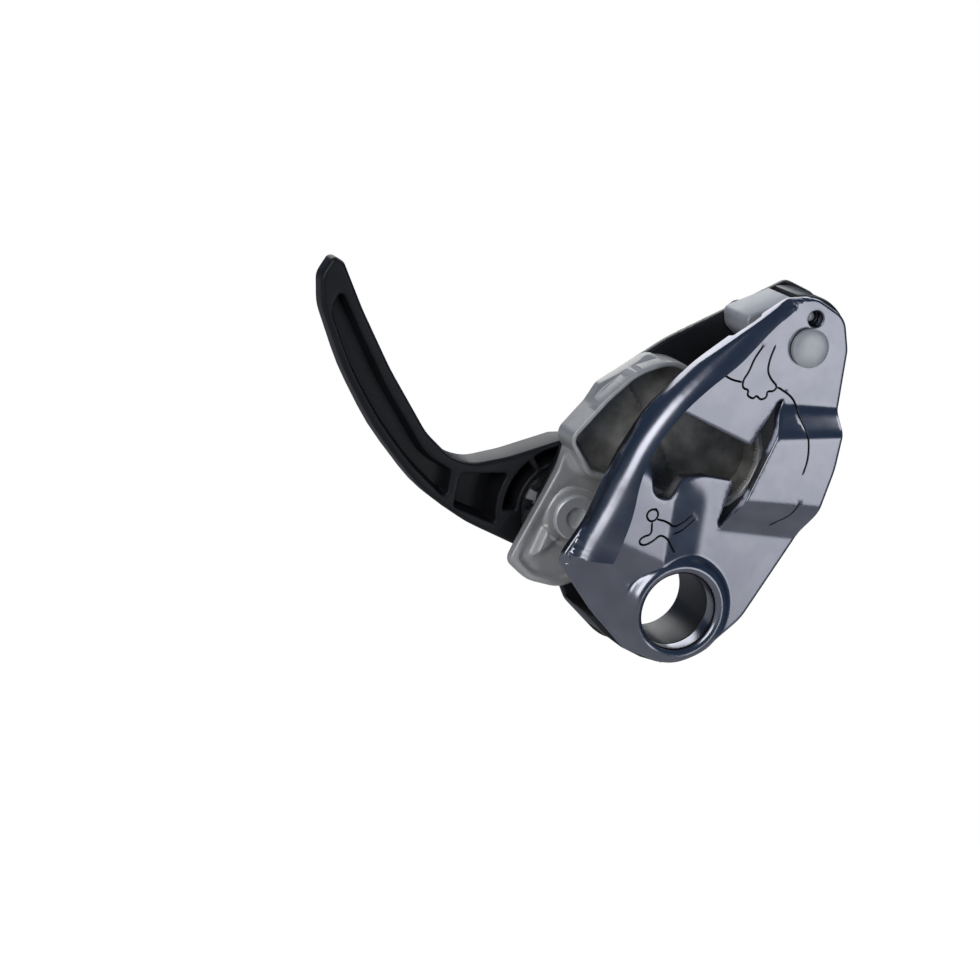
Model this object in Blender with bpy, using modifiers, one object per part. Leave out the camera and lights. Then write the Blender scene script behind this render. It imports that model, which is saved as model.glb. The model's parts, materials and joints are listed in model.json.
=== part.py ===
"""Assisted-braking belay device: two side plates, a cam, a friction wedge and a release handle.

Frame: the origin is the middle of the carabiner eye, half way between the side plates.
+Z runs from the eye to the pivot rivet, +X is to the right of it as the moving plate is faced,
and +Y goes from the moving plate towards the handle.  Lengths are metres.
"""
import bpy
import bmesh
from math import atan2, ceil, cos, pi, radians, sin, tan
from mathutils import Matrix, Vector

MM = 0.001                       # outlines below are written in millimetres and scaled by this

# Driving sizes
ROPE_GAP = 0.0130                # between the side plates, for ropes up to 11 mm
MOVING_PLATE_THICK = 0.0025
FIXED_PLATE_THICK = 0.0025
EYE_RADIUS = 0.00875             # carabiner eye
COLLAR_WIDTH = 0.00425           # raised collar round the eye, at its foot
COLLAR_RISE = 0.0022
PAD_WIDTH = 0.00245              # boss of the fixed plate that meets the moving plate at the eye
PIVOT_HEIGHT = 0.0650            # eye to pivot rivet
PIVOT_RADIUS = 0.0030
PIVOT_HEAD_RADIUS = 0.0044
SPACER_RADIUS = 0.0112
PIN_RADIUS = 0.0011              # locating pin of the spacer
PIN_OFFSET = (-0.0015, 0.0063)   # from the pivot
AXLE_PLACE = (-0.0265, 0.0085)   # shared axle of the cam and the handle
AXLE_RADIUS = 0.0032
AXLE_HEAD_LIP = 0.0020
BUSH_WALL = 0.0010
WASHER_THICK = 0.0005
RIDGE_RADIUS = 0.0052            # rope lip along the left edge
RIDGE_WALL = 0.0016
BUMP_RISE = 0.0050               # bridge that gives the rope room at the right
BUMP_WALL = 0.0023
ROPE_LOOP = (-0.0060, 0.0340)    # centre of the bend that the rope takes round the cam
CAM_FLANGE_THICK = 0.0022
CAM_CUP_RADIUS = 0.0132          # round nose of the cam's cup, which the rope bends round
CUP_DEPTH = 0.0040
CUP_RIM = 0.0011
HANDLE_DEPTH = 0.0100
HANDLE_TIP_DEPTH = 0.0055
HANDLE_REACH = 0.0795            # axle to tip
HANDLE_RISE = radians(19.5)      # of the tip above the axle, at rest
HANDLE_ELBOW = (-0.0340, 0.0015) # from the axle
HANDLE_SHELL = 0.0022
HUB_WALL = 0.0058                # from the hub's cavity to its outside, with the ring of pockets
HUB_RING = 0.0014
SPRING_WIRE = 0.00040            # radius of both springs' wire
CLEARANCE = 0.0003               # between neighbours that touch or turn in each other
WEDGE_RIVET_RADIUS = 0.0013
WEDGE_RIVET_OFFSETS = {"left": (-0.0102, 0.0004), "right": (0.0080, -0.0046)}   # from the pivot
STOP_PIN_RADIUS = 0.0010
STOP_PIN_SPACING = 0.0050        # from the axle's surface to the pin's middle
STOP_PIN_ANGLE = radians(290)
CAM_TRAVEL = radians(16)

# Sizes that follow from the ones above
COLLAR_RADIUS = EYE_RADIUS + COLLAR_WIDTH
PAD_RADIUS = EYE_RADIUS + PAD_WIDTH
AXLE_HEAD_RADIUS = AXLE_RADIUS + AXLE_HEAD_LIP
STOP_PIN_ORBIT = AXLE_RADIUS + STOP_PIN_SPACING
HUB_CAVITY_RADIUS = STOP_PIN_ORBIT + 2 * STOP_PIN_RADIUS
HUB_RADIUS = HUB_CAVITY_RADIUS + HUB_WALL

# Levels across the device, from the front to the back
FRONT_INNER = -ROPE_GAP / 2
FRONT_OUTER = FRONT_INNER - MOVING_PLATE_THICK
BACK_INNER = ROPE_GAP / 2
BACK_OUTER = BACK_INNER + FIXED_PLATE_THICK
HANDLE_FRONT = BACK_OUTER + WASHER_THICK + CLEARANCE * 2
HANDLE_BACK = HANDLE_FRONT + HANDLE_DEPTH

EYE = Vector((0.0, 0.0))
PIVOT = Vector((0.0, PIVOT_HEIGHT))
AXLE = Vector(AXLE_PLACE)
LOOP = Vector(ROPE_LOOP)
PIN = PIVOT + Vector(PIN_OFFSET)
WEDGE_RIVETS = {side: PIVOT + Vector(offset) for side, offset in WEDGE_RIVET_OFFSETS.items()}


# ---------------------------------------------------------------- scene and materials

def clear_scene():
    for thing in list(bpy.data.objects):
        bpy.data.objects.remove(thing, do_unlink=True)


def make_collection(name):
    group = bpy.data.collections.new(name)
    bpy.context.scene.collection.children.link(group)
    return group


def make_material(name, colour, roughness, metallic):
    material = bpy.data.materials.new(name)
    material.use_nodes = True
    shader = material.node_tree.nodes["Principled BSDF"]
    shader.inputs["Base Color"].default_value = (*colour, 1.0)
    shader.inputs["Roughness"].default_value = roughness
    shader.inputs["Metallic"].default_value = metallic
    return material


clear_scene()
PARTS = make_collection("belay_device")
CUTTERS = make_collection("cutters")

ANODISED_BLUE = make_material("anodised_gunmetal", (0.09, 0.11, 0.16), 0.22, 1.0)
DARK_PLATE = make_material("black_anodised", (0.02, 0.02, 0.022), 0.4, 0.8)
CAST_STEEL = make_material("cast_steel", (0.36, 0.35, 0.33), 0.42, 1.0)
WEDGE_STEEL = make_material("blasted_steel", (0.45, 0.46, 0.46), 0.55, 1.0)
BRIGHT_STEEL = make_material("bright_steel", (0.62, 0.63, 0.62), 0.3, 1.0)
SPRING_STEEL = make_material("spring_steel", (0.3, 0.3, 0.31), 0.3, 1.0)
BRONZE = make_material("bronze", (0.45, 0.27, 0.1), 0.35, 1.0)
NYLON = make_material("black_nylon", (0.018, 0.018, 0.02), 0.5, 0.0)
SPACER_NYLON = make_material("dark_nylon", (0.05, 0.05, 0.055), 0.35, 0.0)


# ---------------------------------------------------------------- shape helpers

def add_object(name, mesh, material, group):
    thing = bpy.data.objects.new(name, mesh)
    group.objects.link(thing)
    if material is not None:
        mesh.materials.clear()
        mesh.materials.append(material)
    return thing


def smooth_by_angle(mesh):
    mesh.shade_smooth()
    mesh.set_sharp_from_angle(angle=radians(35))


def near(anchor, points):
    """Outline points given in mm from an anchor; a third value is the corner's radius."""
    return [(anchor.x + p[0] * MM, anchor.y + p[1] * MM, (p[2] if len(p) > 2 else 0) * MM)
            for p in points]


def rounded(corners, step=radians(20)):
    """Closed outline through corners (x, z, radius), each corner a true arc within its sides."""
    points = []
    count = len(corners)
    for i, (x, z, radius) in enumerate(corners):
        here = Vector((x, z))
        back = Vector(corners[i - 1][:2]) - here
        ahead = Vector(corners[(i + 1) % count][:2]) - here
        half = back.angle(ahead) / 2
        reach = min(radius / tan(half), 0.48 * back.length, 0.48 * ahead.length)
        if reach < 1e-6 or half > radians(88):
            points.append(here)
            continue
        fillet = reach * tan(half)
        middle = here + (back.normalized() + ahead.normalized()).normalized() * fillet / sin(half)
        first = here + back.normalized() * reach - middle
        last = here + ahead.normalized() * reach - middle
        start = atan2(first.y, first.x)
        sweep = (atan2(last.y, last.x) - start + pi) % (2 * pi) - pi
        bits = max(2, ceil(abs(sweep) / step))
        points += [middle + fillet * Vector((cos(start + sweep * k / bits), sin(start + sweep * k / bits)))
                   for k in range(bits + 1)]
    return points


def circle(centre, radius, count=28):
    return [centre + radius * Vector((cos(2 * pi * k / count), sin(2 * pi * k / count)))
            for k in range(count)]


def sector(centre, inner, outer, start, end, bits=8):
    """Closed outline of a ring segment."""
    turn = [start + (end - start) * k / bits for k in range(bits + 1)]
    arc = [centre + outer * Vector((cos(a), sin(a))) for a in turn]
    return arc + [centre + inner * Vector((cos(a), sin(a))) for a in reversed(turn)]


def slab(name, outlines, front, back, material=None, group=None):
    """Flat piece: closed outlines in X and Z, the first outside and the others holes."""
    curve = bpy.data.curves.new(name, "CURVE")
    curve.dimensions = "2D"
    curve.fill_mode = "BOTH"
    curve.extrude = (back - front) / 2
    for outline in outlines:
        spline = curve.splines.new("POLY")
        spline.points.add(len(outline) - 1)
        for point, place in zip(spline.points, outline):
            point.co = (place[0], place[1], 0, 1)
        spline.use_cyclic_u = True
    return curve_to_object(name, curve, material, group, stand_up(front, back))


def stand_up(front, back):
    """Turns a flat shape drawn in X and Y up into X and Z, half way between two levels."""
    return Matrix.Translation((0, (front + back) / 2, 0)) @ Matrix.Rotation(pi / 2, 4, "X")


def curve_to_object(name, curve, material, group, place):
    scratch = bpy.data.objects.new(name + "_curve", curve)
    CUTTERS.objects.link(scratch)
    bpy.context.view_layer.update()
    evaluated = scratch.evaluated_get(bpy.context.evaluated_depsgraph_get())
    mesh = bpy.data.meshes.new_from_object(evaluated)
    bpy.data.objects.remove(scratch, do_unlink=True)
    mesh.name = name
    mesh.transform(place)
    weld(mesh)
    return add_object(name, mesh, material, group or PARTS)


def weld(mesh):
    shape = bmesh.new()
    shape.from_mesh(mesh)
    bmesh.ops.remove_doubles(shape, verts=shape.verts, dist=0.00001)
    bmesh.ops.recalc_face_normals(shape, faces=shape.faces)
    shape.to_mesh(mesh)
    shape.free()
    smooth_by_angle(mesh)


def tube(name, route, radius, material=None, group=None, sides=3):
    """Round bar along (x, y, z, share of the radius)."""
    curve = bpy.data.curves.new(name, "CURVE")
    curve.dimensions = "3D"
    curve.bevel_depth = radius
    curve.bevel_resolution = sides
    curve.use_fill_caps = True
    spline = curve.splines.new("POLY")
    spline.points.add(len(route) - 1)
    for point, (x, y, z, share) in zip(spline.points, route):
        point.co = (x, y, z, 1)
        point.radius = share
    return curve_to_object(name, curve, material, group, Matrix())


def turned(name, profile, centre, material, closed=False, steps=28):
    """Turned piece about a Y axis through centre; profile is (radius, y), listed back to front."""
    mesh = bpy.data.meshes.new(name)
    shape = bmesh.new()
    verts = [shape.verts.new((radius, 0, y)) for radius, y in profile]
    for first, second in zip(verts, verts[1:] + verts[:1] if closed else verts[1:]):
        shape.edges.new((first, second))
    shape.to_mesh(mesh)
    shape.free()
    thing = add_object(name, mesh, material, PARTS)
    thing.rotation_euler = (-pi / 2, 0, 0)
    thing.location = (centre.x, 0, centre.y)
    screw = thing.modifiers.new("turn", "SCREW")
    screw.steps = steps
    screw.render_steps = steps
    screw.use_merge_vertices = True
    screw.merge_threshold = 0.00001
    return thing


def boolean(target, other, operation):
    modifier = target.modifiers.new(operation.lower() + "_" + other.name, "BOOLEAN")
    modifier.operation = operation
    modifier.object = other
    modifier.solver = "EXACT"
    if other.name not in CUTTERS.objects:
        CUTTERS.objects.link(other)
        PARTS.objects.unlink(other)
    other.hide_render = True
    other.display_type = "WIRE"


def cut(target, *others):
    for other in others:
        boolean(target, other, "DIFFERENCE")


def join(target, *others):
    for other in others:
        boolean(target, other, "UNION")


def cutter(name, outline, front, back):
    return slab(name, [outline], front, back, None, CUTTERS)


def loft(name, base, base_y, top, top_y):
    """Block between two four-cornered outlines at two levels."""
    mesh = bpy.data.meshes.new(name)
    shape = bmesh.new()
    bmesh.ops.create_cube(shape, size=2.0)
    corner = {(-1, -1): 0, (1, -1): 1, (1, 1): 2, (-1, 1): 3}
    for vert in shape.verts:
        index = corner[(round(vert.co.x), round(vert.co.z))]
        outline, level = (top, top_y) if vert.co.y < 0 else (base, base_y)
        vert.co = (outline[index][0], level, outline[index][1])
    bmesh.ops.recalc_face_normals(shape, faces=shape.faces)
    shape.to_mesh(mesh)
    shape.free()
    return add_object(name, mesh, None, CUTTERS)


def chamfer(thing, width):
    bevel = thing.modifiers.new("edge", "BEVEL")
    bevel.width = width
    bevel.segments = 1
    bevel.limit_method = "ANGLE"
    bevel.angle_limit = radians(50)


# ---------------------------------------------------------------- moving side plate

def moving_plate_outline():
    return rounded(
        near(PIVOT, [(-9.2, 7.6, 3), (-3.4, 10.6, 5), (5.2, 9.6, 6), (9.6, 3.4, 6), (13.8, -8.2, 8)])
        + near(LOOP, [(23.6, 9.5, 20), (25.6, -6.5, 20)])
        + near(EYE, [(16.2, 4.0, 12), (11.6, -5.2, 8), (4.6, -12.0, 9), (-6.0, -13.0, 9), (-17.0, -8.6, 20)])
        + near(AXLE, [(-4.6, -9.6, 5), (-6.8, -5.6, 3)])
        + near(LOOP, [(-26.6, -10.5, 30), (-25.8, 4.5, 25), (-19.0, 17.0, 30)])
        + near(PIVOT, [(-17.5, -3.0, 25)]))


def ridge_route():
    """Middle of the rope lip, from its lower end to where it fades out at the top."""
    places = (near(AXLE, [(-0.3, -3.0), (-0.5, 5.0)])
              + near(LOOP, [(-21.5, -12.0), (-21.6, -3.5), (-19.4, 6.0), (-15.8, 14.0)])
              + near(PIVOT, [(-17.0, -9.5), (-13.6, -3.8), (-9.6, 1.4), (-6.6, 4.6)]))
    shares = (0.85, 1.0, 1.0, 1.0, 0.97, 0.92, 0.85, 0.75, 0.5, 0.2)
    return [(x, z, share) for (x, z, _), share in zip(places, shares)]


def ridge_solid(name, radius, shift):
    level = FRONT_OUTER + 0.0010
    route = [(x, level + shift, z, share) for x, z, share in ridge_route()]
    return tube(name, route, radius, None, CUTTERS, 3)


def bump_corners(inset):
    """Foot and top of the bridge: left bottom, right bottom, right top, left top."""
    foot = near(LOOP, [(6.6 + inset, -10.2 + inset), (26.5, -8.0 + inset),
                       (21.0, 24.2 - inset), (6.2 + inset, 17.6 - inset)])
    top = near(LOOP, [(6.6 + inset, -2.6 + inset), (26.5, 1.8 + inset),
                      (24.6, 14.0 - inset), (6.2 + inset, 9.8 - inset)])
    return foot, top


def bump_solid():
    foot, top = bump_corners(0.0)
    return loft("bump_body", foot, FRONT_OUTER + 0.0005, top, FRONT_OUTER - BUMP_RISE)


def bump_hollow():
    wall = BUMP_WALL / MM
    foot, top = bump_corners(0.7 * wall)
    open_side = 4.0 * MM            # the hollow runs out through the left side, and to the right edge
    foot = [(x - open_side if i in (0, 3) else x + open_side, z) for i, (x, z, _) in enumerate(foot)]
    top = [(x - open_side if i in (0, 3) else x + open_side, z) for i, (x, z, _) in enumerate(top)]
    return loft("bump_hollow", foot, FRONT_INNER + 0.0010, top, FRONT_OUTER - BUMP_RISE + BUMP_WALL)


def window_outline():
    return rounded(near(LOOP, [(-17.2, -6.0, 3), (-16.6, 1.5, 6), (-14.6, 6.2, 1.5), (0.6, 5.9, 1),
                               (5.0, 6.4, 0.5), (6.2, -2.2, 1), (-2.6, -4.2, 3), (-7.6, -6.5, 2),
                               (-9.0, -12.6, 2.5), (-13.0, -12.8, 3)]))


def make_moving_plate():
    plate = slab("moving_side_plate", [moving_plate_outline()], FRONT_OUTER, FRONT_INNER, ANODISED_BLUE)
    chamfer(plate, 0.0004)
    wide = 0.2
    behind = cutter("behind_plate", [(-wide, -wide), (wide, -wide), (wide, wide), (-wide, wide)],
                    FRONT_INNER - 0.0002, FRONT_INNER + 0.02)
    ridge = ridge_solid("ridge_body", RIDGE_RADIUS, 0.0)
    cut(ridge, behind)
    bump = bump_solid()
    boolean(bump, cutter("plate_edge", moving_plate_outline(), FRONT_OUTER - 0.02, FRONT_INNER), "INTERSECT")
    collar_top = FRONT_OUTER - COLLAR_RISE
    collar = turned("collar_body", [(0, FRONT_OUTER + 0.0005), (COLLAR_RADIUS, FRONT_OUTER + 0.0005),
                                    (COLLAR_RADIUS - 0.0012, FRONT_OUTER - 0.6 * COLLAR_RISE),
                                    (COLLAR_RADIUS - 0.0028, collar_top), (0, collar_top)], EYE, None)
    join(plate, ridge, bump, collar)
    eye = turned("eye_bore", [(0, 0.0), (EYE_RADIUS, 0.0), (EYE_RADIUS, -0.02), (0, -0.02)], EYE, None)
    pivot_bore = cutter("pivot_bore", circle(PIVOT, PIVOT_RADIUS + CLEARANCE), FRONT_OUTER - 0.01, 0.0)
    pin_hole = cutter("pin_hole", circle(PIN, PIN_RADIUS + 0.0007, 20), FRONT_OUTER - 0.01, 0.0)
    window = cutter("plate_window", window_outline(), FRONT_OUTER - 0.01, 0.0)
    groove = ridge_solid("ridge_groove", RIDGE_RADIUS - RIDGE_WALL, 0.0006)
    cut(plate, bump_hollow(), groove, window, eye, pivot_bore, pin_hole)
    return [plate]


# ---------------------------------------------------------------- fixed side plate

def fixed_plate_outline():
    return rounded(
        near(PIVOT, [(-9.4, 4.8, 2), (-3.4, 11.8, 3), (4.6, 11.8, 4), (10.4, 5.0, 6), (13.2, -8.4, 10)])
        + near(LOOP, [(22.6, 9.5, 20), (23.8, -6.5, 20)])
        + near(EYE, [(15.2, 4.0, 12), (11.4, -6.0, 8), (4.8, -13.0, 9), (-6.0, -13.9, 9), (-17.4, -9.6, 6)])
        + near(AXLE, [(0.5, -10.5, 6), (-6.5, -7.5, 6), (-8.8, 1.5, 6)])
        + near(LOOP, [(-29.4, -9.0, 12), (-28.6, 1.0, 12), (-24.2, 9.8, 8)])
        + near(PIVOT, [(-24.0, -12.0, 30)]))


def pad_outline():
    """Boss round the eye, with a foot that follows the lower edge and keeps off the cam."""
    arc = [EYE + PAD_RADIUS * Vector((cos(a), sin(a)))
           for a in [radians(205 - 15 * k) for k in range(16)]]
    foot = near(EYE, [(4.6, -12.6), (-1.0, -13.2), (-6.5, -12.9), (-12.0, -11.6), (-18.0, -9.2)])
    return arc + [Vector(p[:2]) for p in foot]


def stop_slot():
    reach = STOP_PIN_RADIUS + CLEARANCE
    spare = reach / STOP_PIN_ORBIT + radians(1)
    return sector(AXLE, STOP_PIN_ORBIT - reach, STOP_PIN_ORBIT + reach,
                  STOP_PIN_ANGLE - spare, STOP_PIN_ANGLE + CAM_TRAVEL + spare)


def make_fixed_plate():
    plate = slab("fixed_side_plate",
                 [fixed_plate_outline(), circle(PIVOT, PIVOT_RADIUS + CLEARANCE),
                  circle(AXLE, AXLE_RADIUS + CLEARANCE), circle(PIN, PIN_RADIUS + CLEARANCE, 16),
                  *[circle(place, WEDGE_RIVET_RADIUS + CLEARANCE, 16) for place in WEDGE_RIVETS.values()],
                  stop_slot()],
                 BACK_INNER, BACK_OUTER, DARK_PLATE)
    chamfer(plate, 0.0004)
    pad = slab("eye_pad", [pad_outline()], FRONT_INNER + CLEARANCE, BACK_INNER + 0.0010, None, CUTTERS)
    eye = turned("eye_bore_back", [(0, 0.02), (EYE_RADIUS, 0.02), (EYE_RADIUS, -0.02), (0, -0.02)],
                 EYE, None)
    join(plate, pad)
    cut(plate, eye)
    return [plate]


# ---------------------------------------------------------------- top: spacer, wedge, pins, rivets

def spacer_outline():
    turn = [radians(124 - 10.5 * k) for k in range(12)]
    arc = [PIVOT + SPACER_RADIUS * Vector((cos(a), sin(a))) for a in turn]
    return arc + [Vector(p[:2]) for p in near(PIVOT, [(9.7, -2.2), (6.5, 4.7), (-4.0, 4.7)])]


def wedge_outline():
    return rounded(near(PIVOT, [(-15.6, 0.1, 1.6), (-7.2, 8.4, 0.4), (-4.9, 4.2, 0.4), (5.8, 4.2, 1),
                                (9.0, -3.0, 0.6), (10.6, -3.6, 1), (10.2, -7.4, 1.5), (-3.0, -6.4, 20),
                                (-13.4, -3.4, 2.5)]))


def make_top_block():
    room = CLEARANCE
    front, back = FRONT_INNER + room, BACK_INNER - room
    spacer = slab("top_spacer", [spacer_outline(), circle(PIN, PIN_RADIUS + room, 16)],
                  front, back, SPACER_NYLON)
    chamfer(spacer, 0.0003)
    wedge = slab("friction_wedge", [wedge_outline(), circle(PIVOT, PIVOT_RADIUS + room)],
                 front, back, WEDGE_STEEL)
    chamfer(wedge, 0.0003)
    sockets = [cutter(f"rivet_socket_{side}", circle(place, WEDGE_RIVET_RADIUS + room, 16), 0.0, BACK_OUTER)
               for side, place in WEDGE_RIVETS.items()]
    washer_seat = cutter("washer_seat", circle(PIVOT, PIVOT_HEAD_RADIUS + 2 * room),
                         FRONT_INNER - 0.001, FRONT_INNER + 0.0011)
    cut(wedge, washer_seat, *sockets)
    washer = turned("pivot_washer",
                    [(PIVOT_RADIUS + room, FRONT_INNER + 0.0008),
                     (PIVOT_HEAD_RADIUS + room, FRONT_INNER + 0.0008),
                     (PIVOT_HEAD_RADIUS + room, FRONT_INNER + room), (PIVOT_RADIUS + room, FRONT_INNER + room)],
                    PIVOT, BRONZE, closed=True)
    pin = turned("locating_pin",
                 [(0, BACK_OUTER), (PIN_RADIUS, BACK_OUTER), (PIN_RADIUS, front), (0, front)],
                 PIN, BRIGHT_STEEL, steps=16)
    return [spacer, wedge, washer, pin]


def rivet(name, centre, radius, head_radius, front, back, front_head, back_head, material, steps=28):
    """Shank with a domed head on each side that is given a head height above zero."""
    profile = [(0, back + back_head), (0.62 * head_radius, back + back_head),
               (head_radius, back + 0.35 * back_head), (head_radius, back), (radius, back)]
    if front_head:
        profile += [(radius, front), (head_radius, front), (head_radius, front - 0.35 * front_head),
                    (0.76 * head_radius, front - front_head), (0, front - front_head)]
    else:
        profile += [(radius, front), (0, front)]
    return turned(name, profile, centre, material, steps=steps)


def make_rivets():
    room = CLEARANCE
    pivot = rivet("pivot_rivet", PIVOT, PIVOT_RADIUS, PIVOT_HEAD_RADIUS,
                  FRONT_OUTER - room, BACK_OUTER + room, 0.0016, 0.0012, BRIGHT_STEEL)
    wedge = [rivet(f"wedge_rivet_{side}", place, WEDGE_RIVET_RADIUS, 2 * WEDGE_RIVET_RADIUS, room,
                   BACK_OUTER + room, 0, 0.0004, BRIGHT_STEEL, 16) for side, place in WEDGE_RIVETS.items()]
    return [pivot, *wedge]


# ---------------------------------------------------------------- cam

def cup_outline():
    loop = [LOOP + CAM_CUP_RADIUS * Vector((cos(a), sin(a)))
            for a in [radians(80 - 17 * k) for k in range(11)]]
    return rounded([(p.x, p.y, 0) for p in loop]
                   + near(LOOP, [(-10.0, -13.0, 10), (-24.6, -15.6, 3), (-33.2, -10.2, 2.6),
                                 (-29.4, 1.5, 12), (-25.6, 9.8, 3), (-18.6, 16.0, 4), (-9.0, 15.2, 10)]))


def cam_flange_outline():
    return rounded(
        near(LOOP, [(-31.0, -6.5, 4), (-29.6, 3.6, 2), (-22.0, 14.6, 4), (-6.0, 15.2, 6), (-6.0, -14.5, 4)])
        + near(AXLE, [(12.2, 1.8, 5), (12.0, -8.4, 6), (5.0, -15.9, 8), (-3.4, -17.2, 8), (-9.6, -15.2, 2.6),
                      (-9.6, -11.5, 10), (-8.6, 8.0, 8)]))


def make_cam():
    room = CLEARANCE
    flange_front = BACK_INNER - room - CAM_FLANGE_THICK
    cam = slab("cam", [cam_flange_outline()], flange_front, BACK_INNER - room, CAST_STEEL)
    chamfer(cam, 0.0004)
    recess = cutter("cam_rim_recess", cam_recess_outline(), flange_front - 0.001, flange_front + 0.0007)
    cut(cam, recess)
    cup = slab("cam_cup", [cup_outline()], FRONT_INNER + 2 * room, flange_front + 0.0012, None, CUTTERS)
    join(cam, cup)
    hub = slab("cam_hub", [circle(AXLE, AXLE_HEAD_RADIUS + 0.0008)], flange_front,
               flange_front + 0.0012, None, CUTTERS)
    join(cam, hub)
    tooth = loft("cam_tooth",
                 [(p[0], p[1]) for p in near(AXLE, [(-5.4, -12.6), (-3.2, -10.6), (-0.6, -5.6), (-5.8, -4.0)])],
                 flange_front + 0.0012,
                 [(p[0], p[1]) for p in near(AXLE, [(-5.0, -11.4), (-3.8, -10.4), (-2.0, -6.4), (-5.2, -5.4)])],
                 flange_front - 0.0016)
    join(cam, tooth)
    pocket = cup_pocket()
    bore = cutter("cam_bore", circle(AXLE, AXLE_RADIUS + BUSH_WALL + 2 * room), -0.01, BACK_OUTER)
    socket = cutter("stop_pin_socket", circle(stop_pin_place(), STOP_PIN_RADIUS + room, 16),
                    flange_front + 0.0008, BACK_OUTER)
    cut(cam, pocket, bore, socket)
    return [cam]


def cup_pocket():
    """Hollow of the cup: its outline set in by the rim."""
    rim_level = FRONT_INNER + 2 * CLEARANCE
    pocket = slab("cup_pocket", [cup_outline()], rim_level - 0.0020, rim_level, None, CUTTERS)
    shape = bmesh.new()
    shape.from_mesh(pocket.data)
    bmesh.ops.dissolve_limit(shape, angle_limit=radians(1), verts=shape.verts, edges=shape.edges)
    bmesh.ops.delete(shape, geom=[f for f in shape.faces if f.normal.y < 0.9], context="FACES")
    faces = list(shape.faces)
    bmesh.ops.inset_region(shape, faces=faces, thickness=CUP_RIM)
    bmesh.ops.delete(shape, geom=[f for f in shape.faces if f not in faces], context="FACES")
    for vert in shape.verts:
        vert.co.y = rim_level + CUP_DEPTH
    grown = bmesh.ops.extrude_face_region(shape, geom=list(shape.faces))
    for item in grown["geom"]:
        if isinstance(item, bmesh.types.BMVert):
            item.co.y = FRONT_INNER - 0.0010
    bmesh.ops.recalc_face_normals(shape, faces=shape.faces)
    shape.to_mesh(pocket.data)
    shape.free()
    return pocket


def cam_recess_outline():
    return rounded(near(AXLE, [(10.0, 0.0, 4), (9.8, -8.0, 5), (4.4, -14.2, 7), (-3.2, -15.6, 7),
                               (-8.0, -13.6, 2), (-8.0, -9.0, 6), (-6.6, 6.0, 4), (4.0, 8.0, 4)]))


def stop_pin_place():
    return AXLE + STOP_PIN_ORBIT * Vector((cos(STOP_PIN_ANGLE), sin(STOP_PIN_ANGLE)))


def make_cam_pieces():
    room = CLEARANCE
    flange_front = BACK_INNER - room - CAM_FLANGE_THICK
    bush = turned("cam_bush",
                  [(AXLE_RADIUS + room, BACK_INNER - room), (AXLE_RADIUS + BUSH_WALL + room, BACK_INNER - room),
                   (AXLE_RADIUS + BUSH_WALL + room, flange_front),
                   (AXLE_RADIUS + room, flange_front)], AXLE, BRONZE, closed=True)
    pin = turned("cam_stop_pin",
                 [(0, BACK_OUTER + 0.0028), (STOP_PIN_RADIUS, BACK_OUTER + 0.0028),
                  (STOP_PIN_RADIUS, flange_front + 0.0008 + room), (0, flange_front + 0.0008 + room)],
                 stop_pin_place(), BRIGHT_STEEL, steps=16)
    return [bush, pin]


def make_axle():
    room = CLEARANCE
    head_back = BACK_INNER - room - CAM_FLANGE_THICK - room
    axle = turned("cam_axle",
                  [(0, HANDLE_BACK + 0.0016), (AXLE_RADIUS, HANDLE_BACK + 0.0016), (AXLE_RADIUS, head_back),
                   (AXLE_HEAD_RADIUS, head_back), (AXLE_HEAD_RADIUS, head_back - 0.0006),
                   (AXLE_HEAD_RADIUS - 0.0005, head_back - 0.0011), (0.0024, head_back - 0.0011),
                   (0.0024, head_back + 0.0002), (0, head_back + 0.0002)], AXLE, BRIGHT_STEEL)
    thrust = turned("handle_washer",
                    [(AXLE_RADIUS + room, BACK_OUTER + room + WASHER_THICK),
                     (AXLE_RADIUS + 0.0014, BACK_OUTER + room + WASHER_THICK),
                     (AXLE_RADIUS + 0.0014, BACK_OUTER + room), (AXLE_RADIUS + room, BACK_OUTER + room)],
                    AXLE, BRONZE, closed=True)
    washer = turned("axle_washer",
                    [(AXLE_RADIUS + room, HANDLE_BACK + 0.0008),
                     (AXLE_HEAD_RADIUS + 0.0012, HANDLE_BACK + 0.0008),
                     (AXLE_HEAD_RADIUS + 0.0012, HANDLE_BACK + room), (AXLE_RADIUS + room, HANDLE_BACK + room)],
                    AXLE, BRIGHT_STEEL, closed=True)
    cap_front = HANDLE_BACK + 0.0008 + room
    cap = turned("axle_cap",
                 [(0, HANDLE_BACK + 0.0030), (0.6 * AXLE_HEAD_RADIUS, HANDLE_BACK + 0.0030),
                  (AXLE_HEAD_RADIUS, HANDLE_BACK + 0.0022), (AXLE_HEAD_RADIUS, cap_front),
                  (AXLE_RADIUS + room, cap_front), (AXLE_RADIUS + room, HANDLE_BACK + 0.0016 + room),
                  (0, HANDLE_BACK + 0.0016 + room)], AXLE, BRIGHT_STEEL)
    return [axle, thrust, washer, cap]


# ---------------------------------------------------------------- handle

def arm_anchors():
    """Tip of the arm, and its elbow next to the hub."""
    tip = AXLE + HANDLE_REACH * Vector((-cos(HANDLE_RISE), sin(HANDLE_RISE)))
    elbow = AXLE + Vector(HANDLE_ELBOW)
    return tip, elbow


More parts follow.
